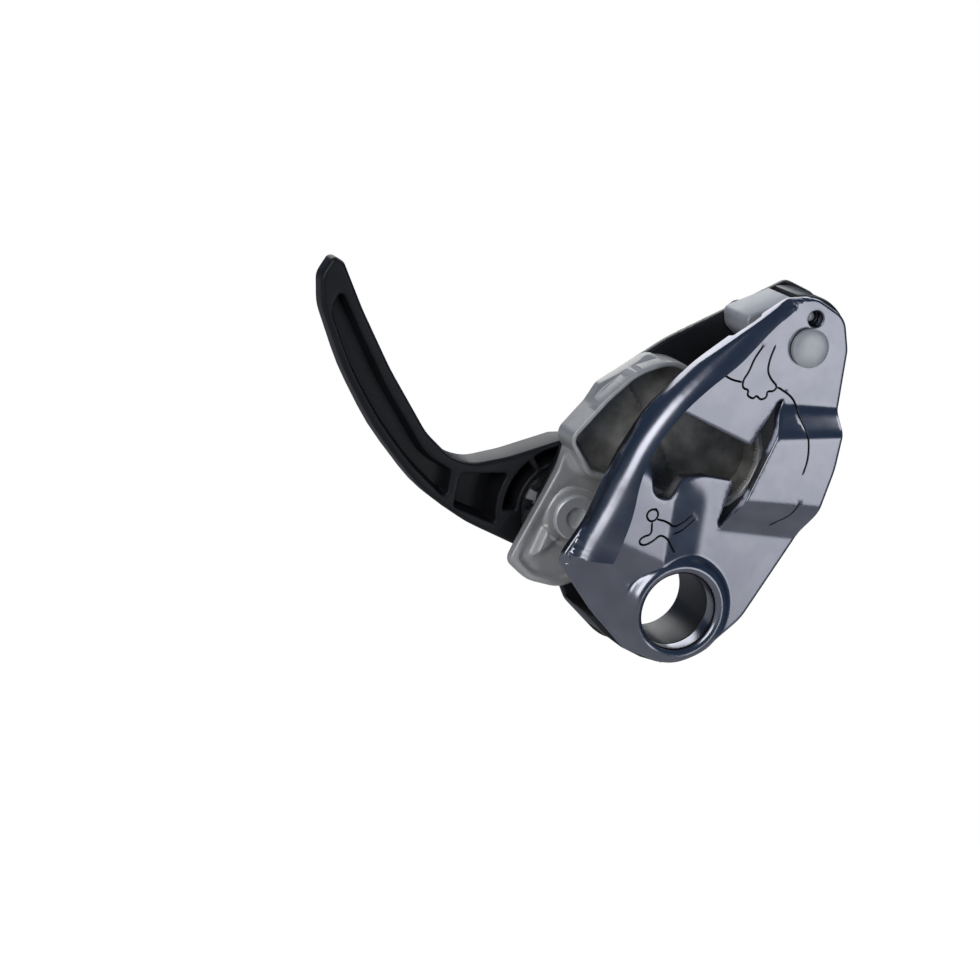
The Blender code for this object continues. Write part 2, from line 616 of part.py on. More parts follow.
def handle_outline():
    tip, elbow = arm_anchors()
    hub = [AXLE + HUB_RADIUS * Vector((cos(a), sin(a))) for a in [radians(120 - 15 * k) for k in range(13)]]
    below = HUB_CAVITY_RADIUS / MM + 2.0
    return rounded(
        [(p.x, p.y, 0) for p in hub]
        + near(AXLE, [(4.0, -below - 0.4, 3), (-5.0, -below + 0.4, 10)])
        + near(elbow, [(14.0, -13.0, 30), (1.1, -10.9, 40), (-15.6, -2.7, 60)])
        + near(tip, [(12.6, -18.6, 60), (1.9, -8.4, 12), (-1.3, -2.5, 4), (-0.6, 2.6, 1.8),
                     (2.2, 2.2, 2), (10.6, -5.1, 60)])
        + near(elbow, [(-18.5, 10.8, 60), (-4.2, 1.4, 14), (3.6, -1.3, 12), (9.5, -0.4, 10),
                       (16.5, 4.3, 20)]), step=radians(12))


def long_pocket_outline():
    tip, elbow = arm_anchors()
    return rounded(
        near(elbow, [(7.0, -10.2, 1), (-4.5, -6.1, 40), (-15.0, -0.7, 60)])
        + near(tip, [(14.0, -17.6, 60), (4.2, -8.2, 4), (4.2, -3.2, 0.8), (13.6, -10.6, 60)])
        + near(elbow, [(-17.4, 6.8, 60), (-8.9, 1.4, 20), (-2.3, -2.9, 12), (5.0, -3.8, 1)]), step=radians(12))


def short_pocket_outline():
    """Pocket between the elbow's web and the ring of the hub, which bounds it with an arc."""
    _, elbow = arm_anchors()
    ring = [AXLE + (HUB_RADIUS + 0.0004) * Vector((cos(a), sin(a)))
            for a in [radians(172 + 10.5 * k) for k in range(5)]]
    web = [Vector(p[:2]) for p in near(elbow, [(9.4, -11.0), (7.4, -3.6)])]
    return ring + web


def ring_pockets():
    """Lightening pockets between the hub's inner and outer rings, parted by radial webs."""
    inner = HUB_CAVITY_RADIUS + HUB_RING
    outer = HUB_RADIUS - HUB_RING
    return [cutter(f"ring_pocket_{k}", sector(AXLE, inner, outer, radians(start), radians(start + 50), 5),
                   HANDLE_FRONT - 0.01, HANDLE_BACK - HANDLE_SHELL - 0.0010)
            for k, start in enumerate((-15, 41, 97, 153))]


def make_handle():
    room = CLEARANCE
    handle = slab("handle", [handle_outline()], HANDLE_FRONT, HANDLE_BACK, NYLON)
    shell = HANDLE_BACK - HANDLE_SHELL
    far = AXLE + Vector((-HANDLE_REACH, 0.0))
    thin = HANDLE_FRONT + HANDLE_TIP_DEPTH
    high = [(x, z) for x, z in [(far.x - 0.02, -0.1), (AXLE.x - HUB_RADIUS - 0.002, -0.1),
                                (AXLE.x - HUB_RADIUS - 0.002, 0.1), (far.x - 0.02, 0.1)]]
    slope = loft("handle_slope", high, HANDLE_BACK + 0.02, high, HANDLE_BACK + 0.0005)
    for vert in slope.data.vertices:
        if vert.co.y < HANDLE_BACK + 0.01 and vert.co.x < far.x:
            vert.co.y = thin - 0.02 * (HANDLE_BACK - thin) / HANDLE_REACH
    chamfer(handle, 0.0008)
    cut(handle, slope)
    long_pocket = cutter("long_pocket", long_pocket_outline(), HANDLE_FRONT - 0.01,
                         HANDLE_FRONT + HANDLE_TIP_DEPTH - HANDLE_SHELL + 0.0006)
    short_pocket = cutter("short_pocket", short_pocket_outline(), HANDLE_FRONT - 0.01, shell - 0.0010)
    cavity = cutter("hub_cavity", circle(AXLE, HUB_CAVITY_RADIUS), HANDLE_FRONT - 0.01, shell)
    hub_bore = cutter("hub_bore", circle(AXLE, AXLE_RADIUS + 0.0012 + 2 * room),
                      HANDLE_FRONT, HANDLE_BACK + 0.01)
    cut(handle, long_pocket, short_pocket, cavity, hub_bore, *ring_pockets())
    return [handle]


def make_handle_insert():
    """Steel sleeve and disc in the handle's hub, with the lug that works on the cam."""
    room = CLEARANCE
    shell = HANDLE_BACK - HANDLE_SHELL
    sleeve = AXLE_RADIUS + 0.0012
    insert = turned("handle_hub_insert",
                    [(AXLE_RADIUS + room, HANDLE_BACK), (sleeve, HANDLE_BACK), (sleeve, shell - room),
                     (HUB_CAVITY_RADIUS - room, shell - room), (HUB_CAVITY_RADIUS - room, shell - 0.0013),
                     (sleeve, shell - 0.0013), (sleeve, HANDLE_FRONT), (AXLE_RADIUS + room, HANDLE_FRONT)],
                    AXLE, BRIGHT_STEEL, closed=True, steps=32)
    outline = sector(AXLE, STOP_PIN_ORBIT - STOP_PIN_RADIUS, HUB_CAVITY_RADIUS - 2 * room,
                     radians(173), radians(187), 2)
    lug = slab("insert_lug", [outline], HANDLE_FRONT, shell - 0.0008, None, CUTTERS)
    join(insert, lug)
    return [insert]


def spring(name, orbit, front, turns, lead_in, lead_out):
    """Torsion spring about the axle: a close coil with a leg at each end."""
    steps = 14
    pitch = 2.3 * SPRING_WIRE
    route = []
    for k in range(int(turns * steps) + 1):
        angle = lead_in + 2 * pi * k / steps
        route.append((AXLE.x + orbit * cos(angle), front + SPRING_WIRE + pitch * k / steps,
                      AXLE.y + orbit * sin(angle), 1))
    last = route[-1]
    angle = lead_in + 2 * pi * turns
    out = Vector((cos(angle + lead_out), sin(angle + lead_out))) * 0.0020
    route.append((last[0] + out.x, last[1] + 0.0002, last[2] + out.y, 1))
    return tube(name, route, SPRING_WIRE, SPRING_STEEL, PARTS, 1)


def make_springs():
    orbit = AXLE_RADIUS + 0.0022
    first = HANDLE_FRONT + CLEARANCE
    cam_spring = spring("cam_return_spring", orbit, first, 2.0, radians(110), radians(60))
    handle_spring = spring("handle_return_spring", orbit, first + 0.0031, 2.0, radians(200), radians(60))
    return cam_spring, handle_spring


# ---------------------------------------------------------------- assembly

def hang_on(name, place, pieces):
    """Parents moving pieces to an empty on their joint's axis, without moving them."""
    empty = bpy.data.objects.new(name, None)
    PARTS.objects.link(empty)
    empty.location = (place.x, 0, place.y)
    bpy.context.view_layer.update()
    for piece in pieces:
        piece.parent = empty
        piece.matrix_parent_inverse = empty.matrix_world.inverted()


def build():
    moving_plate = make_moving_plate()
    make_fixed_plate()
    make_top_block()
    make_rivets()
    cam_pieces = make_cam() + make_cam_pieces()
    make_axle()
    handle = make_handle() + make_handle_insert()
    make_springs()
    hang_on("moving_plate_axis", PIVOT, moving_plate)
    hang_on("cam_axis", AXLE, cam_pieces)
    hang_on("handle_axis", AXLE, handle)


build()
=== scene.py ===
import bpy
import bmesh
import json
import numpy as np
from math import atan2, ceil, cos, pi, radians, sin, tan
from mathutils import Matrix, Vector
from mathutils.geometry import delaunay_2d_cdt

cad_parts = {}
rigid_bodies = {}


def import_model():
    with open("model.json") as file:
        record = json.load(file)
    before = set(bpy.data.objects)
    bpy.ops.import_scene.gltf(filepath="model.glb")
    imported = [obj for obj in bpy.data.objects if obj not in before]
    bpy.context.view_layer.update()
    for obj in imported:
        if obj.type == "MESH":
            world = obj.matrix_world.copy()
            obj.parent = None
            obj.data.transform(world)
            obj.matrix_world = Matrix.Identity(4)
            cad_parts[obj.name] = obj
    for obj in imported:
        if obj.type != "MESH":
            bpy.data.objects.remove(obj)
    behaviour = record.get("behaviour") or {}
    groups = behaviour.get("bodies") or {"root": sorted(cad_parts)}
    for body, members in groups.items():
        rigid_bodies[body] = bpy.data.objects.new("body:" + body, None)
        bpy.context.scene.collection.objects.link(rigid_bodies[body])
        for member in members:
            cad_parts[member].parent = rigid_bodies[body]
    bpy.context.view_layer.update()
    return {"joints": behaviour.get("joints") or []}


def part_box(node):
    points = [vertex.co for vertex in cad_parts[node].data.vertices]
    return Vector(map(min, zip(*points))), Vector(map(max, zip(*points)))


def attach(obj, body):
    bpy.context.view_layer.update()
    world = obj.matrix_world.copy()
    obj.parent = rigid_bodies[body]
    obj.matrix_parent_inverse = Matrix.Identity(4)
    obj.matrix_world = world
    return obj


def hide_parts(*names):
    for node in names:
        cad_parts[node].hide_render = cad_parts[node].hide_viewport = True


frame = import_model()
mm = 0.001                                        # outlines are in millimetres, meshes in metres

# places taken from the model: X and Z of the turning centres, and levels along Y, all in mm

joints = {j["name"]: j for j in frame["joints"]}


def turningCentre(name):
    place = joints[name]["pos_m"]
    return np.array((place[0], place[2])) / mm


def levels(node):
    low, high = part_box(node)
    return low[1] / mm, high[1] / mm


pivot = turningCentre("plate_swing")
axle = turningCentre("cam_turn")
eye = np.array((0.0, 0.0))
loop = np.array((-6.0, 34.0))                     # middle of the bend that the rope takes
plateInner = levels("moving_side_plate")[1]
sheetThick = 2.5
clearance = 0.3                                   # running clearance between stacked pieces
plateOuter = plateInner - sheetThick
backInner = -plateInner
backOuter = levels("fixed_side_plate")[1]
handleFront, handleBack = levels("handle")
camBack = levels("cam")[1]
camFront = levels("cam")[0]


def near(anchor, points):
    return [(anchor[0] + p[0], anchor[1] + p[1], p[2] if len(p) > 2 else 0) for p in points]


# outlines are closed lines of x and z, anticlockwise

def softOutline(corners, gap=0.6, step=radians(7)):
    # corners are (x, z, radius); the result runs anticlockwise with points no further apart than gap
    turned = []
    count = len(corners)
    for i, (x, z, radius) in enumerate(corners):
        here = Vector((x, z))
        back = Vector(corners[i - 1][:2]) - here
        ahead = Vector(corners[(i + 1) % count][:2]) - here
        half = back.angle(ahead) / 2
        reach = min(radius / tan(half), 0.48 * back.length, 0.48 * ahead.length)
        if reach < 1e-4 or half > radians(88.5):
            turned.append(here)
            continue
        fillet = reach * tan(half)
        middle = here + (back.normalized() + ahead.normalized()).normalized() * fillet / sin(half)
        first = here + back.normalized() * reach - middle
        last = here + ahead.normalized() * reach - middle
        start = atan2(first.y, first.x)
        sweep = (atan2(last.y, last.x) - start + pi) % (2 * pi) - pi
        bits = max(2, ceil(abs(sweep) / step))
        turned += [middle + fillet * Vector((cos(start + sweep * k / bits), sin(start + sweep * k / bits)))
                   for k in range(bits + 1)]
    return anticlockwise(filled(turned, gap))


def filled(points, gap, closed=True):
    done = []
    ends = points[1:] + points[:1] if closed else points[1:]
    for first, last in zip(points, ends):
        first, last = Vector(first[:2]), Vector(last[:2])
        bits = max(1, ceil((last - first).length / gap))
        done += [first.lerp(last, k / bits) for k in range(bits)]
    if not closed:
        done.append(Vector(points[-1][:2]))
    kept = [done[0]]
    for point in done[1:]:
        if (point - kept[-1]).length > 0.12:
            kept.append(point)
    if closed and (kept[0] - kept[-1]).length < 0.12:
        kept.pop()
    return np.array([tuple(p) for p in kept])


def anticlockwise(points):
    x, z = points[:, 0], points[:, 1]
    area = np.sum(x * np.roll(z, -1) - np.roll(x, -1) * z)
    return points if area > 0 else points[::-1].copy()


def ring(centre, radius, gap=0.6):
    count = max(24, ceil(2 * pi * radius / gap))
    turn = np.arange(count) * 2 * pi / count
    return np.stack((centre[0] + radius * np.cos(turn), centre[1] + radius * np.sin(turn)), axis=1)


def inset(points, distance):
    # moves a closed outline inwards
    along = np.roll(points, -1, axis=0) - np.roll(points, 1, axis=0)
    along /= np.maximum(np.linalg.norm(along, axis=1), 1e-9)[:, None]
    return points + distance * np.stack((-along[:, 1], along[:, 0]), axis=1)


def distanceTo(x, z, points, closed=True):
    # distance from each place to a line of points, and how far along the line the nearest spot is
    first = points
    last = np.roll(points, -1, axis=0)
    if not closed:
        first, last = points[:-1], points[1:]
    side = last - first
    length2 = np.maximum((side ** 2).sum(axis=1), 1e-12)
    best = np.full(x.shape, 1e9)
    where = np.zeros(x.shape)
    for k in range(len(first)):
        t = np.clip(((x - first[k, 0]) * side[k, 0] + (z - first[k, 1]) * side[k, 1]) / length2[k], 0, 1)
        away = np.hypot(x - first[k, 0] - t * side[k, 0], z - first[k, 1] - t * side[k, 1])
        closer = away < best
        best = np.where(closer, away, best)
        where = np.where(closer, k + t, where)
    return best, where


def inside(x, z, points):
    within = np.zeros(x.shape, dtype=bool)
    last = np.roll(points, -1, axis=0)
    for (x1, z1), (x2, z2) in zip(points, last):
        if z1 == z2:
            continue
        crosses = ((z1 > z) != (z2 > z)) & (x < (x2 - x1) * (z - z1) / (z2 - z1) + x1)
        within ^= crosses
    return within


def depthWithin(x, z, points):
    # distance to a closed outline, above zero inside it and below zero outside
    away, _ = distanceTo(x, z, points)
    return np.where(inside(x, z, points), away, -away)


def rollOver(depth, radius):
    # how far a rounded edge has dropped at this distance from it
    left = np.clip(radius - depth, 0, radius)
    return radius - np.sqrt(np.maximum(radius ** 2 - left ** 2, 0))


def smoothStep(value, low, high):
    t = np.clip((value - low) / (high - low), 0, 1)
    return t * t * (3 - 2 * t)


def softMax(a, b, reach):
    h = np.clip(0.5 + 0.5 * (a - b) / reach, 0, 1)
    return b + (a - b) * h + reach * h * (1 - h)


# how a piece becomes an object, and how a formed solid is meshed

def newPiece(name, mesh, body, finish, replaced=(), sharp=32):
    piece = bpy.data.objects.new(name, mesh)
    bpy.context.scene.collection.objects.link(piece)
    mesh.materials.clear()
    mesh.materials.append(finish)
    finishPiece(piece, body, replaced, sharp)
    return piece


def finishPiece(piece, body, replaced=(), sharp=32):
    piece.data.shade_smooth()
    piece.data.set_sharp_from_angle(angle=radians(sharp))
    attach(piece, body)
    if replaced:
        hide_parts(*replaced)
    print("made", piece.name, len(piece.data.polygons), "faces")


def formedSolid(name, outer, holes, rings, pitch, front, back, marks=None):
    # A solid between two surfaces over one outline: front and back give y at each x and z.
    # rings are (points, closed) lines that the mesh follows, where the surface turns; a third item
    # is how far they keep from the outline and the holes.
    low, high = outer.min(axis=0), outer.max(axis=0)
    places, sides = [], []

    def addLine(points, closed):
        start = len(places)
        places.extend(tuple(p) for p in points)
        sides.extend((start + k, start + k + 1) for k in range(len(points) - 1))
        if closed:
            sides.append((start + len(points) - 1, start))

    addLine(outer, True)
    for hole in holes:
        addLine(hole, True)
    for points, closed, *clear in rings:
        x, z = points[:, 0], points[:, 1]
        apart = clear[0] if clear else 0.05
        keep = depthWithin(x, z, outer) > apart
        for hole in holes:
            keep &= depthWithin(x, z, hole) < -min(apart, 0.55)
        run = []
        for k, point in enumerate(points):
            if keep[k]:
                run.append(point)
            if (not keep[k] or k == len(points) - 1) and len(run) > 1:
                addLine(run, closed and len(run) == len(points))
            if not keep[k]:
                run = []
    # loose places between the lines, on a triangular grid
    rows = np.arange(low[1], high[1], pitch * 0.866)
    grid = np.array([(x + (pitch / 2 if k % 2 else 0), z) for k, z in enumerate(rows)
                     for x in np.arange(low[0], high[0], pitch)])
    keep = depthWithin(grid[:, 0], grid[:, 1], outer) > 0.5 * pitch
    for hole in holes:
        keep &= depthWithin(grid[:, 0], grid[:, 1], hole) < -0.5 * pitch
    grid = grid[keep]
    lines = np.array(places)
    cell = {}
    for p in lines:
        cell.setdefault((int(p[0] // pitch), int(p[1] // pitch)), []).append(p)
    for p in grid:
        i, j = int(p[0] // pitch), int(p[1] // pitch)
        close = [q for a in (-1, 0, 1) for b in (-1, 0, 1) for q in cell.get((i + a, j + b), ())]
        if all(abs(q[0] - p[0]) + abs(q[1] - p[1]) > 0.62 * pitch for q in close):
            places.append(tuple(p))
    flat, _, faces, _, _, _ = delaunay_2d_cdt([Vector(p) for p in places], sides, [], 0, 1e-5, True)
    flat = np.array([tuple(p) for p in flat])
    faces = [f for f in faces if len(f) == 3]
    middles = np.array([flat[list(f)].mean(axis=0) for f in faces])
    keep = inside(middles[:, 0], middles[:, 1], outer)
    for hole in holes:
        keep &= ~inside(middles[:, 0], middles[:, 1], hole)
    faces = [f for f, kept in zip(faces, keep) if kept]
    x, z = flat[:, 0], flat[:, 1]
    yFront, yBack = front(x, z), back(x, z)
    shape = bmesh.new()
    used = sorted({v for f in faces for v in f})
    frontVerts = {v: shape.verts.new((x[v] * mm, yFront[v] * mm, z[v] * mm)) for v in used}
    backVerts = {v: shape.verts.new((x[v] * mm, yBack[v] * mm, z[v] * mm)) for v in used}
    edgeUse = {}
    for a, b, c in faces:
        if np.cross(flat[b] - flat[a], flat[c] - flat[a]) < 0:
            b, c = c, b
        shape.faces.new((frontVerts[a], frontVerts[b], frontVerts[c]))
        shape.faces.new((backVerts[a], backVerts[c], backVerts[b]))
        for edge in ((a, b), (b, c), (c, a)):
            edgeUse[edge] = edgeUse.get(edge, 0) + 1
    for a, b in edgeUse:
        if (b, a) not in edgeUse:
            shape.faces.new((frontVerts[b], frontVerts[a], backVerts[a], backVerts[b]))
    mesh = bpy.data.meshes.new(name)
    shape.to_mesh(mesh)
    shape.free()
    if marks is not None:
        values = np.zeros(len(mesh.vertices), dtype=np.float32)
        values[:len(used)] = marks(x, z)[used]
        mesh.attributes.new("engraved", "FLOAT", "POINT").data.foreach_set("value", values)
    return mesh


# finishes, built from a small wrapper round the shader nodes

class Wire:
    # one shader socket, which Python's operators turn into Math nodes
    def __init__(self, finish, socket):
        self.finish, self.socket = finish, socket

    def maths(self, operation, first, second):
        return self.finish.node("ShaderNodeMath", {"operation": operation}, {0: first, 1: second})

    def __add__(self, other):
        return self.maths("ADD", self, other)

    def __radd__(self, other):
        return self.maths("ADD", other, self)

    def __sub__(self, other):
        return self.maths("SUBTRACT", self, other)

    def __rsub__(self, other):
        return self.maths("SUBTRACT", other, self)

    def __mul__(self, other):
        return self.maths("MULTIPLY", self, other)

    def __rmul__(self, other):
        return self.maths("MULTIPLY", other, self)

    def over(self, low, high):
        # 0 below low, 1 above high, a smooth step between
        return self.finish.node("ShaderNodeMapRange", {"interpolation_type": "SMOOTHSTEP"},
                                {"Value": self, "From Min": low, "From Max": high})


class Finish:
    def __init__(self, name, **fixed):
        self.material = bpy.data.materials.new(name)
        self.material.use_nodes = True
        self.tree = self.material.node_tree
        self.shader = self.tree.nodes["Principled BSDF"]
        self.object = self.node("ShaderNodeTexCoord", output="Object")
        for key, value in fixed.items():
            self.plug(value, self.shader.inputs[key.replace("_", " ")])

    def node(self, kind, settings=None, inputs=None, output=0):
        made = self.tree.nodes.new(kind)
        for key, value in (settings or {}).items():
            setattr(made, key, value)
        for key, value in (inputs or {}).items():
            self.plug(value, made.inputs[key])
        return Wire(self, made.outputs[output])

    def plug(self, value, socket):
        if isinstance(value, Wire):
            self.tree.links.new(value.socket, socket)
        elif isinstance(value, tuple) and len(value) == 3 and socket.type == "RGBA":
            socket.default_value = (*value, 1)
        else:
            socket.default_value = value

    def use(self, **sockets):
        for key, value in sockets.items():
            self.plug(value, self.shader.inputs[key.replace("_", " ")])
        return self

    def noise(self, size, detail=3.0, roughness=0.55, stretch=(1, 1, 1)):
        # size is the width of a blotch in mm
        where = self.node("ShaderNodeMapping", inputs={"Vector": self.object, "Scale": stretch})
        return self.node("ShaderNodeTexNoise", inputs={"Vector": where, "Scale": 1000 / size,
                                                       "Detail": detail, "Roughness": roughness})

    def mix(self, factor, first, second):
        made = self.tree.nodes.new("ShaderNodeMix")
        made.data_type = "RGBA"
        for value, socket in ((factor, made.inputs[0]), (first, made.inputs[6]), (second, made.inputs[7])):
            self.plug(value, socket)
        return Wire(self, made.outputs[2])

    def relief(self, height, depth, strength=1.0):
        # depth in mm
        bump = self.node("ShaderNodeBump", inputs={"Height": height, "Distance": depth * mm,
                                                   "Strength": strength})
        return self.use(Normal=bump)

    def attribute(self, name):
        return self.node("ShaderNodeAttribute", {"attribute_name": name}, output="Fac")


def anodisedFinish():
    look = {"light": (0.40, 0.405, 0.45), "dark": (0.34, 0.345, 0.39), "groove": (0.012, 0.012, 0.015)}
    finish = Finish("anodisedGunmetal", Metallic=1.0)
    cloud, grain = finish.noise(9.0, 2.0), finish.noise(0.35, 2.0, 0.6)
    hair = finish.noise(0.5, 4.0, 0.7, (1.0, 1.0, 0.08))
    groove = finish.attribute("engraved")
    colour = finish.mix(cloud.over(0.35, 0.65), look["dark"], look["light"])
    finish.use(Base_Color=finish.mix(groove, colour, look["groove"]),
               Roughness=0.17 + 0.07 * cloud + 0.05 * hair + 0.35 * groove)
    return finish.relief(grain * 0.6 + hair * 0.4, 0.002).material


def satinBlackFinish():
    finish = Finish("blackPlate", Metallic=0.0, Coat_Weight=0.15, Coat_Roughness=0.3)
    cloud, grain = finish.noise(7.0, 3.0), finish.noise(0.25, 2.0)
    finish.use(Base_Color=finish.mix(cloud.over(0.3, 0.7), (0.012, 0.012, 0.013), (0.022, 0.022, 0.024)),
               Roughness=0.36 + 0.12 * cloud)
    return finish.relief(grain, 0.01).material


def castSteelFinish(name, light, dark, rough, grainSize, grainDepth):
    finish = Finish(name, Metallic=0.5)
    cloud, grain = finish.noise(6.0, 4.0), finish.noise(grainSize, 3.0, 0.65)
    scuff = finish.noise(1.6, 4.0, 0.7, (1.0, 1.0, 0.15))
    colour = finish.mix(cloud.over(0.3, 0.7), dark, light)
    finish.use(Base_Color=finish.mix(scuff.over(0.58, 0.75) * 0.5, colour, light),
               Roughness=rough + 0.12 * cloud + 0.10 * grain)
    return finish.relief(grain, grainDepth).material


def turnedSteelFinish():
    finish = Finish("turnedSteel", Metallic=0.45)
    cloud, grain = finish.noise(3.0, 3.0), finish.noise(0.4, 3.0, 0.6)
    finish.use(Base_Color=finish.mix(cloud.over(0.3, 0.7), (0.84, 0.845, 0.84), (0.93, 0.93, 0.92)),
               Roughness=0.32 + 0.12 * grain)
    return finish.relief(grain, 0.008).material


def bronzeFinish():
    finish = Finish("bearingBronze", Metallic=1.0)
    cloud = finish.noise(2.0, 4.0)
    finish.use(Base_Color=finish.mix(cloud, (0.38, 0.22, 0.09), (0.55, 0.36, 0.17)), Roughness=0.3 + 0.2 * cloud)
    return finish.relief(cloud, 0.01).material


def springWireFinish():
    finish = Finish("springWire", Metallic=1.0)
    cloud = finish.noise(1.2, 3.0, 0.6, (1.0, 0.2, 1.0))
    finish.use(Base_Color=finish.mix(cloud, (0.22, 0.22, 0.23), (0.42, 0.42, 0.43)), Roughness=0.2 + 0.2 * cloud)
    return finish.relief(cloud, 0.008).material


def nylonFinish(name, light, dark, rough, grainDepth):
    finish = Finish(name, Metallic=0.0, Specular_IOR_Level=0.5)
    cloud, grain = finish.noise(8.0, 3.0), finish.noise(0.3, 3.0, 0.7)
    scuff = finish.noise(1.1, 5.0, 0.75, (1.0, 1.0, 0.2))
    colour = finish.mix(cloud.over(0.3, 0.7), dark, light)
    finish.use(Base_Color=finish.mix(scuff.over(0.62, 0.8) * 0.25, colour, (0.09, 0.09, 0.095)),
               Roughness=rough + 0.10 * cloud + 0.08 * grain)
    return finish.relief(grain, grainDepth).material


anodised = anodisedFinish()
blackPlate = satinBlackFinish()
castSteel = castSteelFinish("castSteel", (0.84, 0.82, 0.785), (0.72, 0.705, 0.675), 0.34, 0.5, 0.02)
# cup floor: a darker copy of the cast steel, painted shade for the cup's deep hollow
cupFloorPaintedShade = castSteelFinish("cupFloorPaintedShade", (0.42, 0.405, 0.375), (0.20, 0.19, 0.17), 0.42, 0.45, 0.05)
blastedSteel = castSteelFinish("blastedSteel", (0.80, 0.81, 0.82), (0.70, 0.71, 0.72), 0.45, 0.22, 0.015)
turnedSteel = turnedSteelFinish()
bronze = bronzeFinish()
springWire = springWireFinish()
blackNylon = nylonFinish("blackNylon", (0.016, 0.016, 0.018), (0.010, 0.010, 0.011), 0.34, 0.012)
darkNylon = nylonFinish("darkNylon", (0.040, 0.041, 0.046), (0.028, 0.029, 0.033), 0.24, 0.006)
print("finishes ready")


# moving side plate: a formed sheet with a rope lip, a bridge, a collar and engraved guide lines

movingPlate = {"edge": 0.7, "windowEdge": 0.35, "pinEdge": 0.3, "pinHole": 1.8, "lineDepth": 0.28,
               "eyeRadius": 8.75, "eyeEdge": 1.5, "collarRise": 2.2, "collarTop": 10.4, "collarFoot": 13.6,
               "collarSink": 0.45, "collarFade": 1.6, "lobeDrop": 1.5, "lobeReach": 10.0, "pitch": 0.75}
rolledEdge = {"sink": 0.8, "tilt": 0.3, "stepStart": -0.3, "stepEnd": 0.35, "endWall": 0.35, "blend": 0.5}
bridge = {"rise": 5.0, "fold": 1.3, "left": loop[0] + 6.6, "right": loop[0] + 26.5}
swell = {"slope": 0.2, "height": 1.9, "bottom": (1.0, 9.0), "top": (23.0, 31.0)}

movingOutline = softOutline(
    near(pivot, [(-9.2, 7.6, 3), (-3.4, 10.6, 5), (5.2, 9.6, 6), (9.6, 3.4, 6), (13.8, -8.2, 8)])
    + near(loop, [(23.6, 9.5, 20), (25.6, -6.5, 20)])
    + near(eye, [(16.2, 4.0, 12), (11.6, -5.2, 8), (4.6, -12.0, 9), (-6.0, -13.0, 9), (-17.0, -8.6, 20)])
    + near(axle, [(-4.2, -9.4, 5), (-4.5, -6.8, 3)])
    + near(loop, [(-23.7, -24.0, 20), (-24.0, -8.0, 30), (-22.6, 3.5, 25), (-16.6, 17.5, 30)])
    + near(pivot, [(-16.6, -3.4, 25)]))

windowOutline = softOutline(near(loop, [
    (-17.2, -6.0, 3), (-16.6, 1.5, 6), (-14.6, 6.2, 1.5), (4.6, 5.9, 0.8), (5.5, 17.2, 0.5), (6.4, 18.8, 0.3),
    (6.6, -13.8, 0.3), (5.6, -12.2, 0.5), (4.6, -2.4, 1.0), (-2.6, -4.2, 3), (-7.6, -6.5, 2),
    (-9.0, -12.6, 2.5), (-13.0, -12.8, 3)]), gap=0.4)[::-1].copy()

# middle of the lip from its lower end up: x, z, half width on the left and right, rise of its crown
lipStations = np.array([(-25.9, -1.0, 3.4, 4.4, 4.4), (-26.3, 4.6, 3.3, 4.9, 4.4), (-26.9, 9.0, 2.7, 5.2, 4.7),
                        (-27.3, 15.5, 2.2, 4.8, 4.8), (-27.6, 23.0, 2.2, 2.9, 4.6), (-27.4, 31.0, 2.2, 2.4, 4.5),
                        (-25.3, 40.0, 2.1, 2.4, 4.3), (-21.7, 48.5, 2.2, 2.6, 4.0), (-17.6, 56.0, 2.6, 3.0, 3.4),
                        (-14.9, 61.6, 2.8, 2.6, 2.6), (-12.6, 65.6, 2.4, 2.2, 1.7), (-10.0, 69.2, 1.6, 1.7, 0.9),
                        (-8.0, 71.6, 0.8, 1.0, 0.25)])


def smoothLine(rows, rounds=3):
    # corner cutting, which keeps the ends
    for _ in range(rounds):
        cutRows = [rows[0]]
        for a, b in zip(rows, rows[1:]):
            cutRows += [0.75 * a + 0.25 * b, 0.25 * a + 0.75 * b]
        rows = np.array(cutRows + [rows[-1]])
    return rows


lip = smoothLine(lipStations, 2)
lipEnd, lipEndAlong = np.array((-25.0, 2.9)), np.array((cos(radians(19)), sin(radians(19))))


def pastEnd(x, z):
    # distance below the lip's cut end
    return (x - lipEnd[0]) * lipEndAlong[1] - (z - lipEnd[1]) * lipEndAlong[0]


def lipHeight(x, z):
    # a rolled edge: it climbs from the outline and ends in a small step on its right
    away, where = distanceTo(x, z, lip[:, :2], closed=False)
    left, rightWide, crown = (np.interp(where, np.arange(len(lip)), lip[:, k]) for k in (2, 3, 4))
    k = np.clip(where.astype(int), 0, len(lip) - 2)
    side = lip[k + 1, :2] - lip[k, :2]
    right = (x - lip[k, 0]) * side[:, 1] - (z - lip[k, 1]) * side[:, 0] > 0
    across = (rightWide - np.where(right, away, -away)) / (left + rightWide)
    sink, tilt, endWall = rolledEdge["sink"], rolledEdge["tilt"], rolledEdge["endWall"]
    rolled = np.sqrt(np.maximum(1 - (tilt + (1 - tilt) * np.clip(across, 0, 1)) ** 2, 0)) / (1 - tilt ** 2) ** 0.5
    drop = 1 - smoothStep(-across * (left + rightWide), rolledEdge["stepStart"], rolledEdge["stepEnd"])
    beyond = pastEnd(x, z)
    cut = smoothStep(beyond, 0.0, endWall)
    rise = (crown + sink) * rolled * drop - sink
    onLeft = np.where(beyond > 0, np.minimum(rise, 0) + np.maximum(rise, 0) * (1 - cut), rise)
    onLeft = onLeft * (1 - smoothStep(beyond, endWall, 3.0))
    return np.where(right, rise * (1 - cut) - sink * cut, onLeft), right


